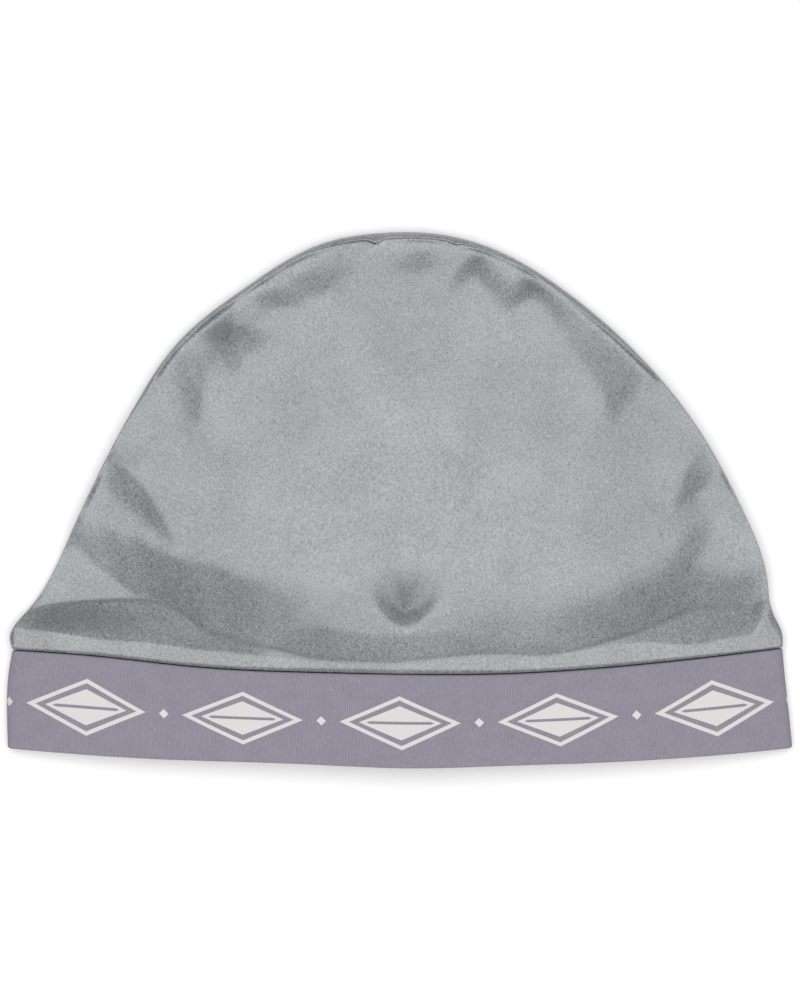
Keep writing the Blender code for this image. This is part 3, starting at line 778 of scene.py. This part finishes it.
class Nodes:
    """A material's node tree, with short calls for the nodes that the cloths share."""

    def __init__(self, name: str) -> None:
        """Start a material with its plain shader."""
        self.material = bpy.data.materials.new(name)
        self.material.use_nodes = True
        self.tree = self.material.node_tree
        self.shader = self.tree.nodes["Principled BSDF"]

    def add(self, kind: str, **settings: object) -> bpy.types.Node:
        """A new node with its settings."""
        node = self.tree.nodes.new(kind)
        for key, value in settings.items():
            setattr(node, key, value)
        return node

    def feed(self, socket: bpy.types.NodeSocket, value: object) -> None:
        """Link a socket to another, or give it a plain value."""
        if isinstance(value, bpy.types.NodeSocket):
            self.tree.links.new(value, socket)
        else:
            socket.default_value = value

    def math(self, operation: str, *values: object) -> bpy.types.NodeSocket:
        """Result of one sum on numbers or sockets."""
        node = self.add("ShaderNodeMath", operation=operation)
        for socket, value in zip(node.inputs, values):
            self.feed(socket, value)
        return node.outputs[0]

    def weighted(self, *parts: tuple[bpy.types.NodeSocket, float]) -> bpy.types.NodeSocket:
        """Sum of values times their weights."""
        total: object = 0.0
        for value, weight in parts:
            total = self.math("MULTIPLY_ADD", value, weight, total)
        return total

    def shade(self, name: str, value: object) -> None:
        """Link the shader's input of this name, or give it a plain value."""
        self.feed(self.shader.inputs[name], value)

    def object_place(self) -> bpy.types.NodeSocket:
        """Place on the object, in metres."""
        return self.add("ShaderNodeTexCoord").outputs["Object"]

    def chart_place(self) -> bpy.types.NodeSocket:
        """Place on the cloth's own chart, in millimetres."""
        return self.add("ShaderNodeUVMap", uv_map="cloth").outputs["UV"]

    def mapped(
        self, place: bpy.types.NodeSocket, scale: tuple[float, float, float], turn: float = 0.0
    ) -> bpy.types.NodeSocket:
        """A place turned about Z by degrees, then scaled."""
        spun = self.add("ShaderNodeMapping")
        self.feed(spun.inputs["Rotation"], (0.0, 0.0, math.radians(turn)))
        self.feed(spun.inputs["Vector"], place)
        sized = self.add("ShaderNodeMapping")
        self.feed(sized.inputs["Scale"], scale)
        self.feed(sized.inputs["Vector"], spun.outputs[0])
        return sized.outputs[0]

    def noise(
        self, place: bpy.types.NodeSocket, scale: float = 1.0, detail: float = 2.0,
        roughness: float = 0.5,
    ) -> bpy.types.NodeSocket:
        """Noise about 0.5 at a place."""
        node = self.add("ShaderNodeTexNoise")
        names = ("Vector", "Scale", "Detail", "Roughness")
        for name, value in zip(names, (place, scale, detail, roughness)):
            self.feed(node.inputs[name], value)
        return node.outputs[0]

    def blend(self, part: object, first: object, second: object) -> bpy.types.NodeSocket:
        """Two colours mixed by a part."""
        node = self.add("ShaderNodeMix", data_type="RGBA")
        self.feed(node.inputs["Factor"], part)
        self.feed(node.inputs[6], first)
        self.feed(node.inputs[7], second)
        return node.outputs[2]

    def spread(
        self, value: bpy.types.NodeSocket, low: float, high: float, start: float = 0.0,
        end: float = 1.0,
    ) -> bpy.types.NodeSocket:
        """A value from low to high carried to start to end, and kept between them."""
        node = self.add("ShaderNodeMapRange")
        for socket, number in zip(node.inputs, (value, low, high, start, end)):
            self.feed(socket, number)
        return node.outputs[0]

    def bump(self, height: bpy.types.NodeSocket, depth: float, strength: float) -> None:
        """Raise the surface by a height of 0 to 1 times a depth in metres."""
        node = self.add("ShaderNodeBump")
        for name, value in (("Strength", strength), ("Distance", depth), ("Height", height)):
            self.feed(node.inputs[name], value)
        self.shade("Normal", node.outputs[0])


Colour = tuple[float, float, float, float]
Scale = tuple[float, float, float]
BLACK: Colour = (0.0, 0.0, 0.0, 1.0)


@dataclass(frozen=True)
class SatinFinish:
    """Stretch satin: a cool grey with fine upright threads, a faint slanting weave and a sheen,
    darkened by painted shade in its deepest folds.
    """

    deep: Colour = (0.060, 0.066, 0.071, 1.0)
    pale: Colour = (0.294, 0.318, 0.330, 1.0)
    roughness: float = 0.34
    ior: float = 1.65
    specular: float = 0.75
    # pleat_shade: how far the painted shade darkens the colour towards black; pleat_dull and
    # pleat_power roughen the deepest folds.
    pleat_shade: float = 0.5
    pleat_dull: float = 0.55
    pleat_power: float = 4.0
    thread_scale: Scale = (2300.0, 1100.0, 1000.0)
    weave_scale: Scale = (2300.0, 1200.0, 1000.0)
    weave_turns: tuple[float, float] = (42.0, -45.0)
    speckle_scale: float = 2900.0
    cloud_scale: float = 60.0
    broken: float = 0.6
    tones: tuple[float, float] = (0.38, 0.62)
    grains: tuple[float, float] = (0.35, 0.65)
    roughness_change: float = 0.03
    thread_depth: float = 0.00004
    thread_strength: float = 0.5

    def material(self) -> bpy.types.Material:
        """Colour, roughness and relief from fine noise along and across the threads, and painted
        shade that darkens the colour towards black in deep folds and the crease.
        """
        nodes = Nodes("satin")
        place = nodes.object_place()
        threads = nodes.noise(nodes.mapped(place, self.thread_scale), detail=1.0)
        slant, counter = (
            nodes.noise(nodes.mapped(place, self.weave_scale, turn), detail=1.0)
            for turn in self.weave_turns
        )
        speckle = nodes.noise(place, self.speckle_scale, 1.0, self.broken)
        cloud = nodes.noise(place, self.cloud_scale, 3.0, self.broken)
        weave = nodes.weighted((counter, 0.5), (slant, 0.5))
        grain = nodes.weighted((threads, 0.3), (weave, 0.35), (speckle, 0.35))
        tone = nodes.weighted((grain, 0.86), (cloud, 0.14))
        colour = nodes.blend(nodes.spread(tone, *self.tones), self.deep, self.pale)
        # Painted shade: the point attribute darkens the base colour towards black in deep folds and
        # the crease.
        painted_pleat_shade = nodes.add("ShaderNodeAttribute", attribute_name="painted_pleat_shade").outputs["Fac"]
        lit = nodes.math("SUBTRACT", 1.0, nodes.math("MULTIPLY", painted_pleat_shade, self.pleat_shade))
        nodes.shade("Base Color", nodes.blend(lit, BLACK, colour))
        smoothest, roughest = (self.roughness + way * self.roughness_change for way in (-1, 1))
        rough = nodes.spread(grain, *self.grains, smoothest, roughest)
        closed = nodes.math("POWER", painted_pleat_shade, self.pleat_power)
        nodes.shade("Roughness", nodes.math("MULTIPLY_ADD", closed, self.pleat_dull, rough))
        nodes.shade("IOR", self.ior)
        nodes.shade("Specular IOR Level", self.specular)
        nodes.bump(grain, self.thread_depth, self.thread_strength)
        return nodes.material


@dataclass(frozen=True)
class PrintedBorder:
    """A plain geometric border in white: lozenges with a smaller one inside, and dots between.

    The smaller lozenge is outlined and filled, but for a slit along its middle.
    """

    pitch: float = 49.5
    offset: float = 24.75
    middle: float = 15.6
    half_width: float = 19.0
    half_height: float = 8.6
    stroke: float = 1.2
    inner_width: float = 11.78
    inner_height: float = 4.988
    half_line: float = 0.45
    dot: float = 1.5
    soft: float = 0.06
    periods_before: int = 1000

    def part(self, nodes: Nodes) -> bpy.types.NodeSocket:
        """Where the ink is, 0 to 1, from lozenges |x| / width + |y| / height = 1 on the chart."""
        math_of = nodes.math
        split = nodes.add("ShaderNodeSeparateXYZ")
        nodes.feed(split.inputs[0], nodes.chart_place())
        along = math_of("ADD", split.outputs[0], self.offset + self.periods_before * self.pitch)
        cell = math_of("FRACT", math_of("DIVIDE", along, self.pitch))
        across = math_of("MULTIPLY", math_of("SUBTRACT", cell, 0.5), self.pitch)

        def apart(value: object, other: object) -> bpy.types.NodeSocket:
            """Distance between two values."""
            return math_of("ABSOLUTE", math_of("SUBTRACT", value, other))

        x, y = math_of("ABSOLUTE", across), apart(split.outputs[1], self.middle)

        def lozenge(width: float, height: float) -> bpy.types.NodeSocket:
            """Distance in millimetres inside a lozenge, minus outside it."""
            norm = math_of("ADD", math_of("DIVIDE", x, width), math_of("DIVIDE", y, height))
            square = width * height / math.hypot(width, height)
            return math_of("MULTIPLY", math_of("SUBTRACT", 1.0, norm), square)

        half_stroke = self.stroke / 2
        outer = lozenge(self.half_width, self.half_height)
        inner = lozenge(self.inner_width, self.inner_height)
        inks = (
            math_of("SUBTRACT", half_stroke, apart(outer, half_stroke)),
            math_of("MINIMUM", inner, math_of("SUBTRACT", y, self.half_line)),
            math_of("SUBTRACT", self.half_line, math_of("ABSOLUTE", inner)),
            math_of("SUBTRACT", self.dot, math_of("ADD", apart(x, self.pitch / 2), y)),
        )
        found: object = 0.0
        for inside in inks:
            found = math_of("MAXIMUM", found, nodes.spread(inside, -self.soft, self.soft))
        return found


@dataclass(frozen=True)
class JerseyFinish:
    """Fine-ribbed jersey: a lilac grey, mottled towards pink, with a printed white border."""

    cool: Colour = (0.196, 0.189, 0.246, 1.0)
    warm: Colour = (0.304, 0.273, 0.321, 1.0)
    ink: Colour = (0.64, 0.62, 0.61, 1.0)
    roughness: float = 0.85
    ink_roughness: float = 0.6
    specular: float = 0.3
    rib: float = 0.66
    rib_wander: float = 0.6
    fibre_scale: Scale = (3.2, 0.7, 1.0)
    speckle_scale: float = 2.6
    cloud_scale: float = 0.16
    broken: float = 0.6
    tints: tuple[float, float] = (0.36, 0.64)
    worn_grains: tuple[float, float] = (0.2, 0.42)
    worn_ink: float = 0.86
    relief: float = 0.00012
    relief_strength: float = 0.6
    border: PrintedBorder = field(default_factory=PrintedBorder)

    def material(self) -> bpy.types.Material:
        """Colour and relief from ribs that run from seam to hem, broken up by noise."""
        nodes = Nodes("jersey")
        chart = nodes.chart_place()
        ribs = nodes.add("ShaderNodeTexWave", wave_type="BANDS", bands_direction="X")
        pace = math.pi / (10.0 * self.rib)
        wave = (("Vector", chart), ("Scale", pace), ("Distortion", self.rib_wander), ("Detail", 1.0))
        for name, value in wave:
            nodes.feed(ribs.inputs[name], value)
        rib = ribs.outputs[1]
        fibre = nodes.noise(nodes.mapped(chart, self.fibre_scale))
        speckle = nodes.noise(chart, self.speckle_scale, 2.0, self.broken)
        cloud = nodes.noise(chart, self.cloud_scale, 3.0, self.broken)
        grain = nodes.weighted((speckle, 0.4), (fibre, 0.6))
        tint = nodes.weighted((grain, 0.62), (cloud, 0.18), (rib, 0.2))
        cloth = nodes.blend(nodes.spread(tint, *self.tints), self.cool, self.warm)
        ink = self.border.part(nodes)
        worn = nodes.spread(grain, *self.worn_grains, self.worn_ink, 1.0)
        nodes.shade("Base Color", nodes.blend(nodes.math("MULTIPLY", ink, worn), cloth, self.ink))
        nodes.shade("Roughness", nodes.spread(ink, 0.0, 1.0, self.roughness, self.ink_roughness))
        nodes.shade("Specular IOR Level", self.specular)
        height = nodes.weighted((grain, 0.4), (rib, 0.35), (ink, 0.25))
        nodes.bump(height, self.relief, self.relief_strength)
        return nodes.material


@dataclass(frozen=True)
class FloorFinish:
    """A plain pale floor."""

    colour: Colour = (0.94, 0.94, 0.94, 1.0)
    roughness: float = 0.9
    specular: float = 0.1

    def material(self) -> bpy.types.Material:
        """A matte material of one colour."""
        nodes = Nodes("floor")
        nodes.shade("Base Color", self.colour)
        nodes.shade("Roughness", self.roughness)
        nodes.shade("Specular IOR Level", self.specular)
        return nodes.material


# ---------------------------------------------------------------- pieces


@dataclass(frozen=True)
class CrownFront:
    """The satin panel on top: puffed, drawn down to the band and puckered along its seams.

    Its grid is lines from the band's seam up to the crown seam, and rows along both seams.
    """

    shape: CrownShape = field(default_factory=CrownShape)
    wall: float = 0.6
    line_count: int = 340
    corner_stretch: float = 1.4
    seam_rows: tuple[float, ...] = (
        0.0, 0.12, 0.28, 0.48, 0.75, 1.1, 1.5, 2.0, 2.5, 3.0, 3.5, 4.0, 4.5, 5.0, 5.5, 6.0,
    )
    rim_rows: tuple[float, ...] = (0.0, 0.12, 0.28, 0.48, 0.75, 1.1, 1.6, 2.2)
    row_count: int = 170
    inner_seam_rows: tuple[float, ...] = (0.0, 0.5, 1.5, 3.0)
    inner_rim_rows: tuple[float, ...] = (0.0, 0.4, 0.9, 1.6, 2.6)
    inner_row_count: int = 32
    ease: float = 1.2
    short: float = 24.0
    pleats: tuple[Pleat, ...] = PLEATS
    slack: float = 0.4
    least_below: float = 0.4
    sheet: Sheet = Sheet(
        "crown_front", Slot.SATIN, 262.0, 152.0, 0.76, Held.GATHERED, ("crown_back", "band")
    )

    def ends(self) -> tuple[np.ndarray, np.ndarray, np.ndarray]:
        """Both ends of each line, on the band's seam and the crown seam, and the way in there.

        The lines are evenly spaced on both seams, and closer in the corners, where the band
        turns over its fold.
        """
        lines, outline = self.shape.lines, self.shape.outline
        close = lines.corner_places
        _, left, right = lines.sides[0]
        even = np.linspace(0.0, 1.0, self.line_count)[1:-1]
        x = np.concatenate([
            [left], left + close, left + close[-1] + (right - left - 2 * close[-1]) * even,
            right - close[::-1], [right],
        ])
        length = np.linalg.norm(np.diff(outline.points, axis=0), axis=1).sum()
        near = close * self.corner_stretch / length
        share = np.concatenate([
            [0.0], near, near[-1] + (1 - 2 * near[-1]) * even, 1 - near[::-1], [1.0],
        ])
        foot = np.stack([x, self.shape.foot(x)], -1)
        tip, way_in = outline.at(share)
        rim = tip + way_in * self.shape.seam_width(share)[:, None]
        rim[:, 1] = np.maximum(rim[:, 1], self.shape.foot(rim[:, 0]))
        return foot, rim, way_in

    def rows(self, first: Sequence[float], last: Sequence[float], count: int) -> np.ndarray:
        """Places of the rows on each line.

        The first rows are at set distances from the band's seam and the last from the crown
        seam, both closer on a short line. Those between follow as (k / count)^ease.

        Args:
            first: Distances of the first rows.
            last: Distances of the last rows.
            count: Number of rows between them.

        Returns:
            Places in an array of (lines, rows, 2).
        """
        foot, rim, _ = self.ends()
        length = np.linalg.norm(rim - foot, axis=1)[:, None]
        shrink = np.minimum(length / self.short, 1)
        start, stop = np.array(first) * shrink, length - np.array(last)[::-1] * shrink
        part = (np.arange(1, count) / count) ** self.ease
        between = start[:, -1:] + (stop[:, :1] - start[:, -1:]) * part
        along = np.concatenate([start, between, stop], 1) / np.maximum(length, 1e-6)
        return foot[:, None] + (rim - foot)[:, None] * along[..., None]

    def face(
        self, first: Sequence[float], last: Sequence[float], count: int, wall: float
    ) -> np.ndarray:
        """The panel's outer face, or with a wall the inner face, square to the lip below it.

        The wall is thicker below a hollow, because the inner face has fewer rows.
        """
        flat = self.rows(first, last, count)
        inward, near = self.shape.outline.nearest(flat)
        height = self.shape.front(flat, inward, near)
        tilt = np.arctan(self.shape.lip_slope(inward, near))
        _, _, way_in = self.ends()
        flat = flat + way_in[:, None] * (np.sin(tilt) * wall)[..., None]
        dents = sum(hollow.depth_at(flat) for hollow in self.shape.hollows)
        height = height - wall * self.slack * dents
        below = np.maximum(np.cos(tilt), self.least_below) * wall
        return np.concatenate([flat, (height - below)[..., None]], -1)

    def build(self) -> bpy.types.Object:
        """Make the panel's closed wall: each line goes up the outer face and back inside. Its points
        carry the painted shade of its deep folds.
        """
        outer = self.face(self.seam_rows, self.rim_rows, self.row_count, 0.0)
        inner = self.face(
            self.inner_seam_rows, self.inner_rim_rows, self.inner_row_count, self.wall
        )
        places = np.concatenate([outer, inner[:, ::-1]], 1).swapaxes(0, 1)
        chart = np.concatenate([places, places[:1]])[..., :2]
        piece = ring_mesh("satin_front", places, chart, poles=True)
        flat = np.empty(3 * len(piece.data.vertices), np.float32)
        piece.data.vertices.foreach_get("co", flat)
        places = flat.reshape(-1, 3)[:, :2].astype(float) / MM
        # Painted shade: how far each point's colour is darkened towards black in deep pleats and the
        # crease.
        deep = np.max([painted_pleat_shade.shade_at(places) for painted_pleat_shade in self.pleats], axis=0)
        deep = np.maximum(deep, self.shape.crease(places))
        layer = piece.data.attributes.new("painted_pleat_shade", "FLOAT", "POINT")
        layer.data.foreach_set("value", deep.astype(np.float32))
        return piece


@dataclass(frozen=True)
class CrownBack:
    """The satin panel below: flat on the floor, turned up round the outline to the crown seam.

    Its grid is lines from its edge to the crown's middle, and rows round it.
    """

    shape: CrownShape = field(default_factory=CrownShape)
    wall: float = 0.6
    outline_count: int = 330
    seam_count: int = 164
    lip_rows: int = 16
    outer_count: int = 34
    inner_count: int = 20
    closest: float = 1.4
    spread_by: float = 0.35
    ease: float = 1.12
    least_way_in: float = 0.4
    seam_turn: float = 2.0
    least_lip: float = 0.05
    sheet: Sheet = Sheet("crown_back", Slot.SATIN, 262.0, 152.0, 0.74, Held.LAID)

    def edge(self) -> tuple[np.ndarray, np.ndarray, np.ndarray]:
        """Points right round the panel's edge, the way in from each, and its outline share."""
        shape = self.shape
        share = np.linspace(0.0, 1.0, self.outline_count + 1)
        tip, way_in = shape.outline.at(share)
        fold = shape.lines.corner_places
        _, left, right = shape.lines.sides[0]
        count = self.seam_count + 1
        between = np.linspace(right - fold[-1], left + fold[-1], count)[1:-1]
        x = np.concatenate([right - fold, between, left + fold[::-1]])
        foot = np.stack([x, shape.foot(x)], -1)
        tip[[0, -1], 1] = shape.foot(tip[[0, -1], 0])
        up = np.tile((0.0, 1.0), (len(x), 1))
        for near in (slice(0, len(fold)), slice(-len(fold), None)):
            across = np.array(shape.middle) - foot[near]
            up[near] = across / np.linalg.norm(across, axis=1, keepdims=True)
        share = np.append(share, np.full(len(x), np.nan))
        return np.concatenate([tip, foot]), np.concatenate([way_in, up]), share

    def spread(self, edge: np.ndarray) -> np.ndarray:
        """Points round the same edge with none closer together than a set distance."""
        loop = np.concatenate([edge, edge[:1]])
        step = np.linalg.norm(np.diff(loop, axis=0), axis=1)
        run = running(step)
        wide = running(np.maximum(step, self.closest))
        place = wide[:-1] * run[-1] / wide[-1]
        return np.stack([np.interp(place, run, loop[:, axis]) for axis in (0, 1)], -1)

    def rows(
        self, edge: np.ndarray, way_in: np.ndarray, first: np.ndarray, count: int
    ) -> np.ndarray:
        """Places in rows from the edge to the crown's middle.

        A row is a part of the way along the line from the edge to the middle. The first rows
        are at set distances square to the edge, and the others follow as (k / count)^ease.
        The lines start at the edge's own points and soon bend over to points spread evenly.

        Args:
            edge: Points round the edge.
            way_in: Direction straight in from each.
            first: Distances in of the first rows, for each point.
            count: Number of rows after those.

        Returns:
            Places in an array of (points, rows, 2).
        """
        middle = np.array(self.shape.middle)
        run = middle - edge
        length = np.linalg.norm(run, axis=-1, keepdims=True)
        square = (run * way_in).sum(-1, keepdims=True) / length
        first = first / np.clip(square, self.least_way_in, 1)
        part = (np.arange(1, count + 1) / count) ** self.ease
        rest = first[:, -1:] + (length - first[:, -1:]) * part
        along = (np.concatenate([first, rest], 1) / length)[..., None]
        apart = eased_part(along / self.spread_by)
        start = edge[:, None] * (1 - apart) + self.spread(edge)[:, None] * apart
        return start + (middle - start) * along

    def met(self, edge: np.ndarray, way_in: np.ndarray, near: np.ndarray) -> np.ndarray:
        """How much of the lip's rise is left at each point where the front is drawn down."""
        shape = self.shape
        inward = shape.seam_width(near)
        full = shape.lip(inward, near) - shape.groove(inward, near) - shape.lines.fold
        top = shape.front(edge + way_in * inward[:, None], inward, near) - shape.lines.fold
        return np.clip(top / full, 0, 1)[:, None]

    def face(self, depth: float, count: int) -> np.ndarray:
        """Places of a face of the panel at a depth into its wall, in rows from edge to middle.

        Round the outline the cloth follows the crown's elliptical lip above its widest point
        and a quarter circle below it, by an angle that runs from the crown seam down to the
        floor: in = width * (1 - cos), up = rise * sin, less where the front is drawn down. Then
        it lies flat.
        """
        shape = self.shape
        edge, way_in, share = self.edge()
        known = ~np.isnan(share)
        near = np.nan_to_num(share)
        width, rise = shape.lip_size(near)
        stop = np.arccos(1 - shape.seam_width(near) / width) - math.radians(self.seam_turn)
        turns = stop[:, None] - (math.pi / 2 + stop[:, None]) * np.linspace(0, 1, self.lip_rows + 1)
        above = turns > 0
        fold = shape.lines.fold
        least = depth + self.least_lip
        wide = np.where(above, np.maximum(width[:, None], least), fold) - depth
        tall = np.where(above, rise[:, None], fold) - depth
        run = depth + wide * (1 - np.cos(turns))
        lift = tall * np.sin(turns)
        raised = lift + shape.dome(run) - shape.groove(run, near[:, None])
        height = fold + np.where(above, raised * self.met(edge, way_in, near), lift)
        plain = np.linspace(0.0, fold, self.lip_rows + 1) * np.ones_like(turns)
        first = np.where(known[:, None], run, plain)
        flat = self.rows(edge, way_in, first, count)
        inward, _ = shape.outline.nearest(flat)
        left = np.clip(1 - np.clip(inward - depth, 0, None) / (fold - depth), 0, 1)
        level = fold - (fold - depth) * np.sqrt(1 - left**2)
        level[known, :self.lip_rows + 1] = height[known]
        return np.concatenate([flat, level[..., None]], -1)

    def build(self) -> bpy.types.Object:
        """Make the panel's closed wall."""
        outer = self.face(0.0, self.outer_count)
        inner = self.face(self.wall, self.inner_count)
        places = np.concatenate([outer[:, ::-1], inner], 1)
        chart = np.concatenate([places, places[:1]])[..., :2]
        return ring_mesh("satin_back", places, chart, poles=True)


class Wave(NamedTuple):
    """One slow wave of the band's front: height * sin(pace * across + start) * share^fade."""

    height: float
    pace: float
    start: float
    fade: float


@dataclass(frozen=True)
class Band:
    """The doubled jersey band: a flattened loop, folded over at its hem."""

    lines: BandLines = field(default_factory=BandLines)
    seam_gap: float = 0.3
    wall: float = 1.4
    nominal: float = 30.0
    front_count: int = 250
    back_count: int = 120
    fold_count: int = 18
    outer_rows: int = 34
    inner_rows: int = 10
    end_rows: int = 6
    row_ease: float = 0.95
    waves: tuple[Wave, ...] = (
        Wave(0.35, 9.0, 1.3, 1.5), Wave(0.22, 17.0, 0.4, 1.5), Wave(0.12, 41.0, 2.0, 3.0),
    )
    sheet: Sheet = Sheet("band", Slot.JERSEY, 502.0, 30.0, 1.0, Held.FOLDED, ("crown_back",))

    def stations(self) -> tuple[np.ndarray, np.ndarray, np.ndarray]:
        """Share across, side and turn of the wall all round the loop, from the back's middle."""
        half = self.back_count // 2
        back = np.linspace(0.5, 0.0, half, endpoint=False)
        front = np.linspace(0.0, 1.0, self.front_count, endpoint=False)
        home = np.linspace(1.0, 0.5, half, endpoint=False)
        bend = np.linspace(-90.0, 90.0, self.fold_count, endpoint=False)
        ones = np.ones(self.fold_count)
        share = np.concatenate([back, 0 * ones, front, ones, home])
        side = np.concatenate([0 * back - 1, -ones, 0 * front - 1, ones, 0 * home + 1])
        turn = np.concatenate([0 * back - 90, bend, 0 * front + 90, -bend, 0 * home - 90])
        return share, side, np.radians(turn)

    def profile(self) -> tuple[np.ndarray, np.ndarray]:
        """Distance from the seam and depth into the wall, round the wall's section.

        Down the outer face, half round the hem, up the inner face and half round the seam.
        """
        r = self.wall / 2
        long = self.nominal
        outer = r + (long - 2 * r) * np.linspace(0, 1, self.outer_rows + 1) ** self.row_ease
        inner = np.linspace(long - r, r, self.inner_rows + 1)
        bend = np.linspace(0.0, math.pi, self.end_rows + 1)[1:-1]
        down = np.concatenate([outer, long - r + r * np.sin(bend), inner, r - r * np.sin(bend)])
        deep = np.concatenate([0 * outer, r - r * np.cos(bend), 0 * inner + self.wall,
                               r + r * np.cos(bend)])
        return down, deep

    def waved(self, across: np.ndarray, share: np.ndarray) -> np.ndarray:
        """Height of the front's waves, which fade towards the seam and the folds."""
        total = sum(
            height * np.sin(pace * across + start) * share**fade
            for height, pace, start, fade in self.waves
        )
        return total * np.clip(1 - across**2, 0, 1)

    def places(self) -> tuple[np.ndarray, np.ndarray]:
        """Points of the wall and their chart.

        A station's middle lies on the line between the two folds' centres, and its wall is
        the fold's radius less the depth away from it, at the station's turn. The front is
        raised by its gape and its waves.
        """
        across_share, side, turn = (a[:, None] for a in self.stations())
        down, deep = (a[None, :] for a in self.profile())
        share = down / self.nominal
        left, right = self.lines.ends(share)
        fold = self.lines.fold
        centre = left + fold + (right - left - 2 * fold) * across_share
        x = centre + side * np.cos(turn) * (fold - deep)
        outside = centre + side * np.cos(turn) * fold
        across = (2 * outside - left - right) / (right - left)
        raised = (self.lines.gape(across, share) + self.waved(across, share)) * (turn > 0)
        z = fold + np.sin(turn) * (fold - deep) + raised
        seam = self.lines.line(1, x) - self.seam_gap / 2
        y = seam + (self.lines.line(2, x) - seam) * share
        places = np.stack([x, y, z], -1)
        step = np.linalg.norm(np.diff(places[:, 0], axis=0), axis=1)
        run = running(np.append(step, step[0]))
        off_front = np.where(places[:, 0, 2] < fold, math.inf, 0.0)
        middle = np.argmin(np.abs(places[:, 0, 0]) + off_front)
        section = np.stack([down[0], deep[0]], -1)
        length = np.linalg.norm(np.diff(section, axis=0), axis=1)
        fall = running(np.append(length, length[0])) + down[0, 0]
        chart = np.stack(np.broadcast_arrays(run[:, None] - run[middle], fall[None, :]), -1)
        return places, chart

    def build(self) -> bpy.types.Object:
        """Make the band's closed wall."""
        places, chart = self.places()
        return ring_mesh("jersey_band", places, chart, poles=False)


# ---------------------------------------------------------------- the studio


@dataclass(frozen=True)
class Studio:
    """A pale floor, one large soft light overhead, a pale surround and the camera, in metres."""

    floor_size: float = 6.0
    light_size: float = 1.6
    light_height: float = 1.3
    light_power: float = 19.8
    surround: float = 0.36
    camera_height: float = 0.8914
    camera_place: tuple[float, float] = (0.00016, -0.00032)
    lens: float = 100.0

    def build(self) -> None:
        """Set up the floor, the light, the surround and the camera straight above."""
        scene = bpy.context.scene
        scene.view_settings.view_transform = "Standard"
        half = self.floor_size / 2
        mesh = bpy.data.meshes.new("floor")
        corners = [(-half, -half, 0), (half, -half, 0), (half, half, 0), (-half, half, 0)]
        mesh.from_pydata(corners, [], [(0, 1, 2, 3)])
        floor = bpy.data.objects.new("floor", mesh)
        floor.data.materials.append(FloorFinish().material())
        scene.collection.objects.link(floor)
        lamp = bpy.data.lights.new("overhead", "AREA")
        lamp.shape = "SQUARE"
        lamp.size = self.light_size
        lamp.energy = self.light_power
        overhead = bpy.data.objects.new("overhead", lamp)
        overhead.location = (0.0, 0.0, self.light_height)
        scene.collection.objects.link(overhead)
        world = bpy.data.worlds.new("surround")
        world.use_nodes = True
        world.node_tree.nodes["Background"].inputs["Color"].default_value = (1.0, 1.0, 1.0, 1.0)
        world.node_tree.nodes["Background"].inputs["Strength"].default_value = self.surround
        scene.world = world
        lens = bpy.data.cameras.new("camera")
        lens.lens = self.lens
        camera = bpy.data.objects.new("camera", lens)
        camera.location = (*self.camera_place, self.camera_height)
        scene.collection.objects.link(camera)
        scene.camera = camera


def main() -> None:
    """Build and dress the cap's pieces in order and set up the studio."""
    logging.basicConfig(level=logging.INFO, format="%(name)s: %(message)s")
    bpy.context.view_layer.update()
    satin = SatinFinish().material()
    jersey = JerseyFinish().material()
    front, back, band = CrownFront(), CrownBack(), Band()
    for part, cloth in ((front, satin), (back, satin), (band, jersey)):
        piece = part.build()
        part.sheet.dress(piece, cloth)
        log.info("%s: %d faces", piece.name, len(piece.data.polygons))
    Studio().build()
    bpy.context.view_layer.update()


if __name__ == "__main__":
    main()
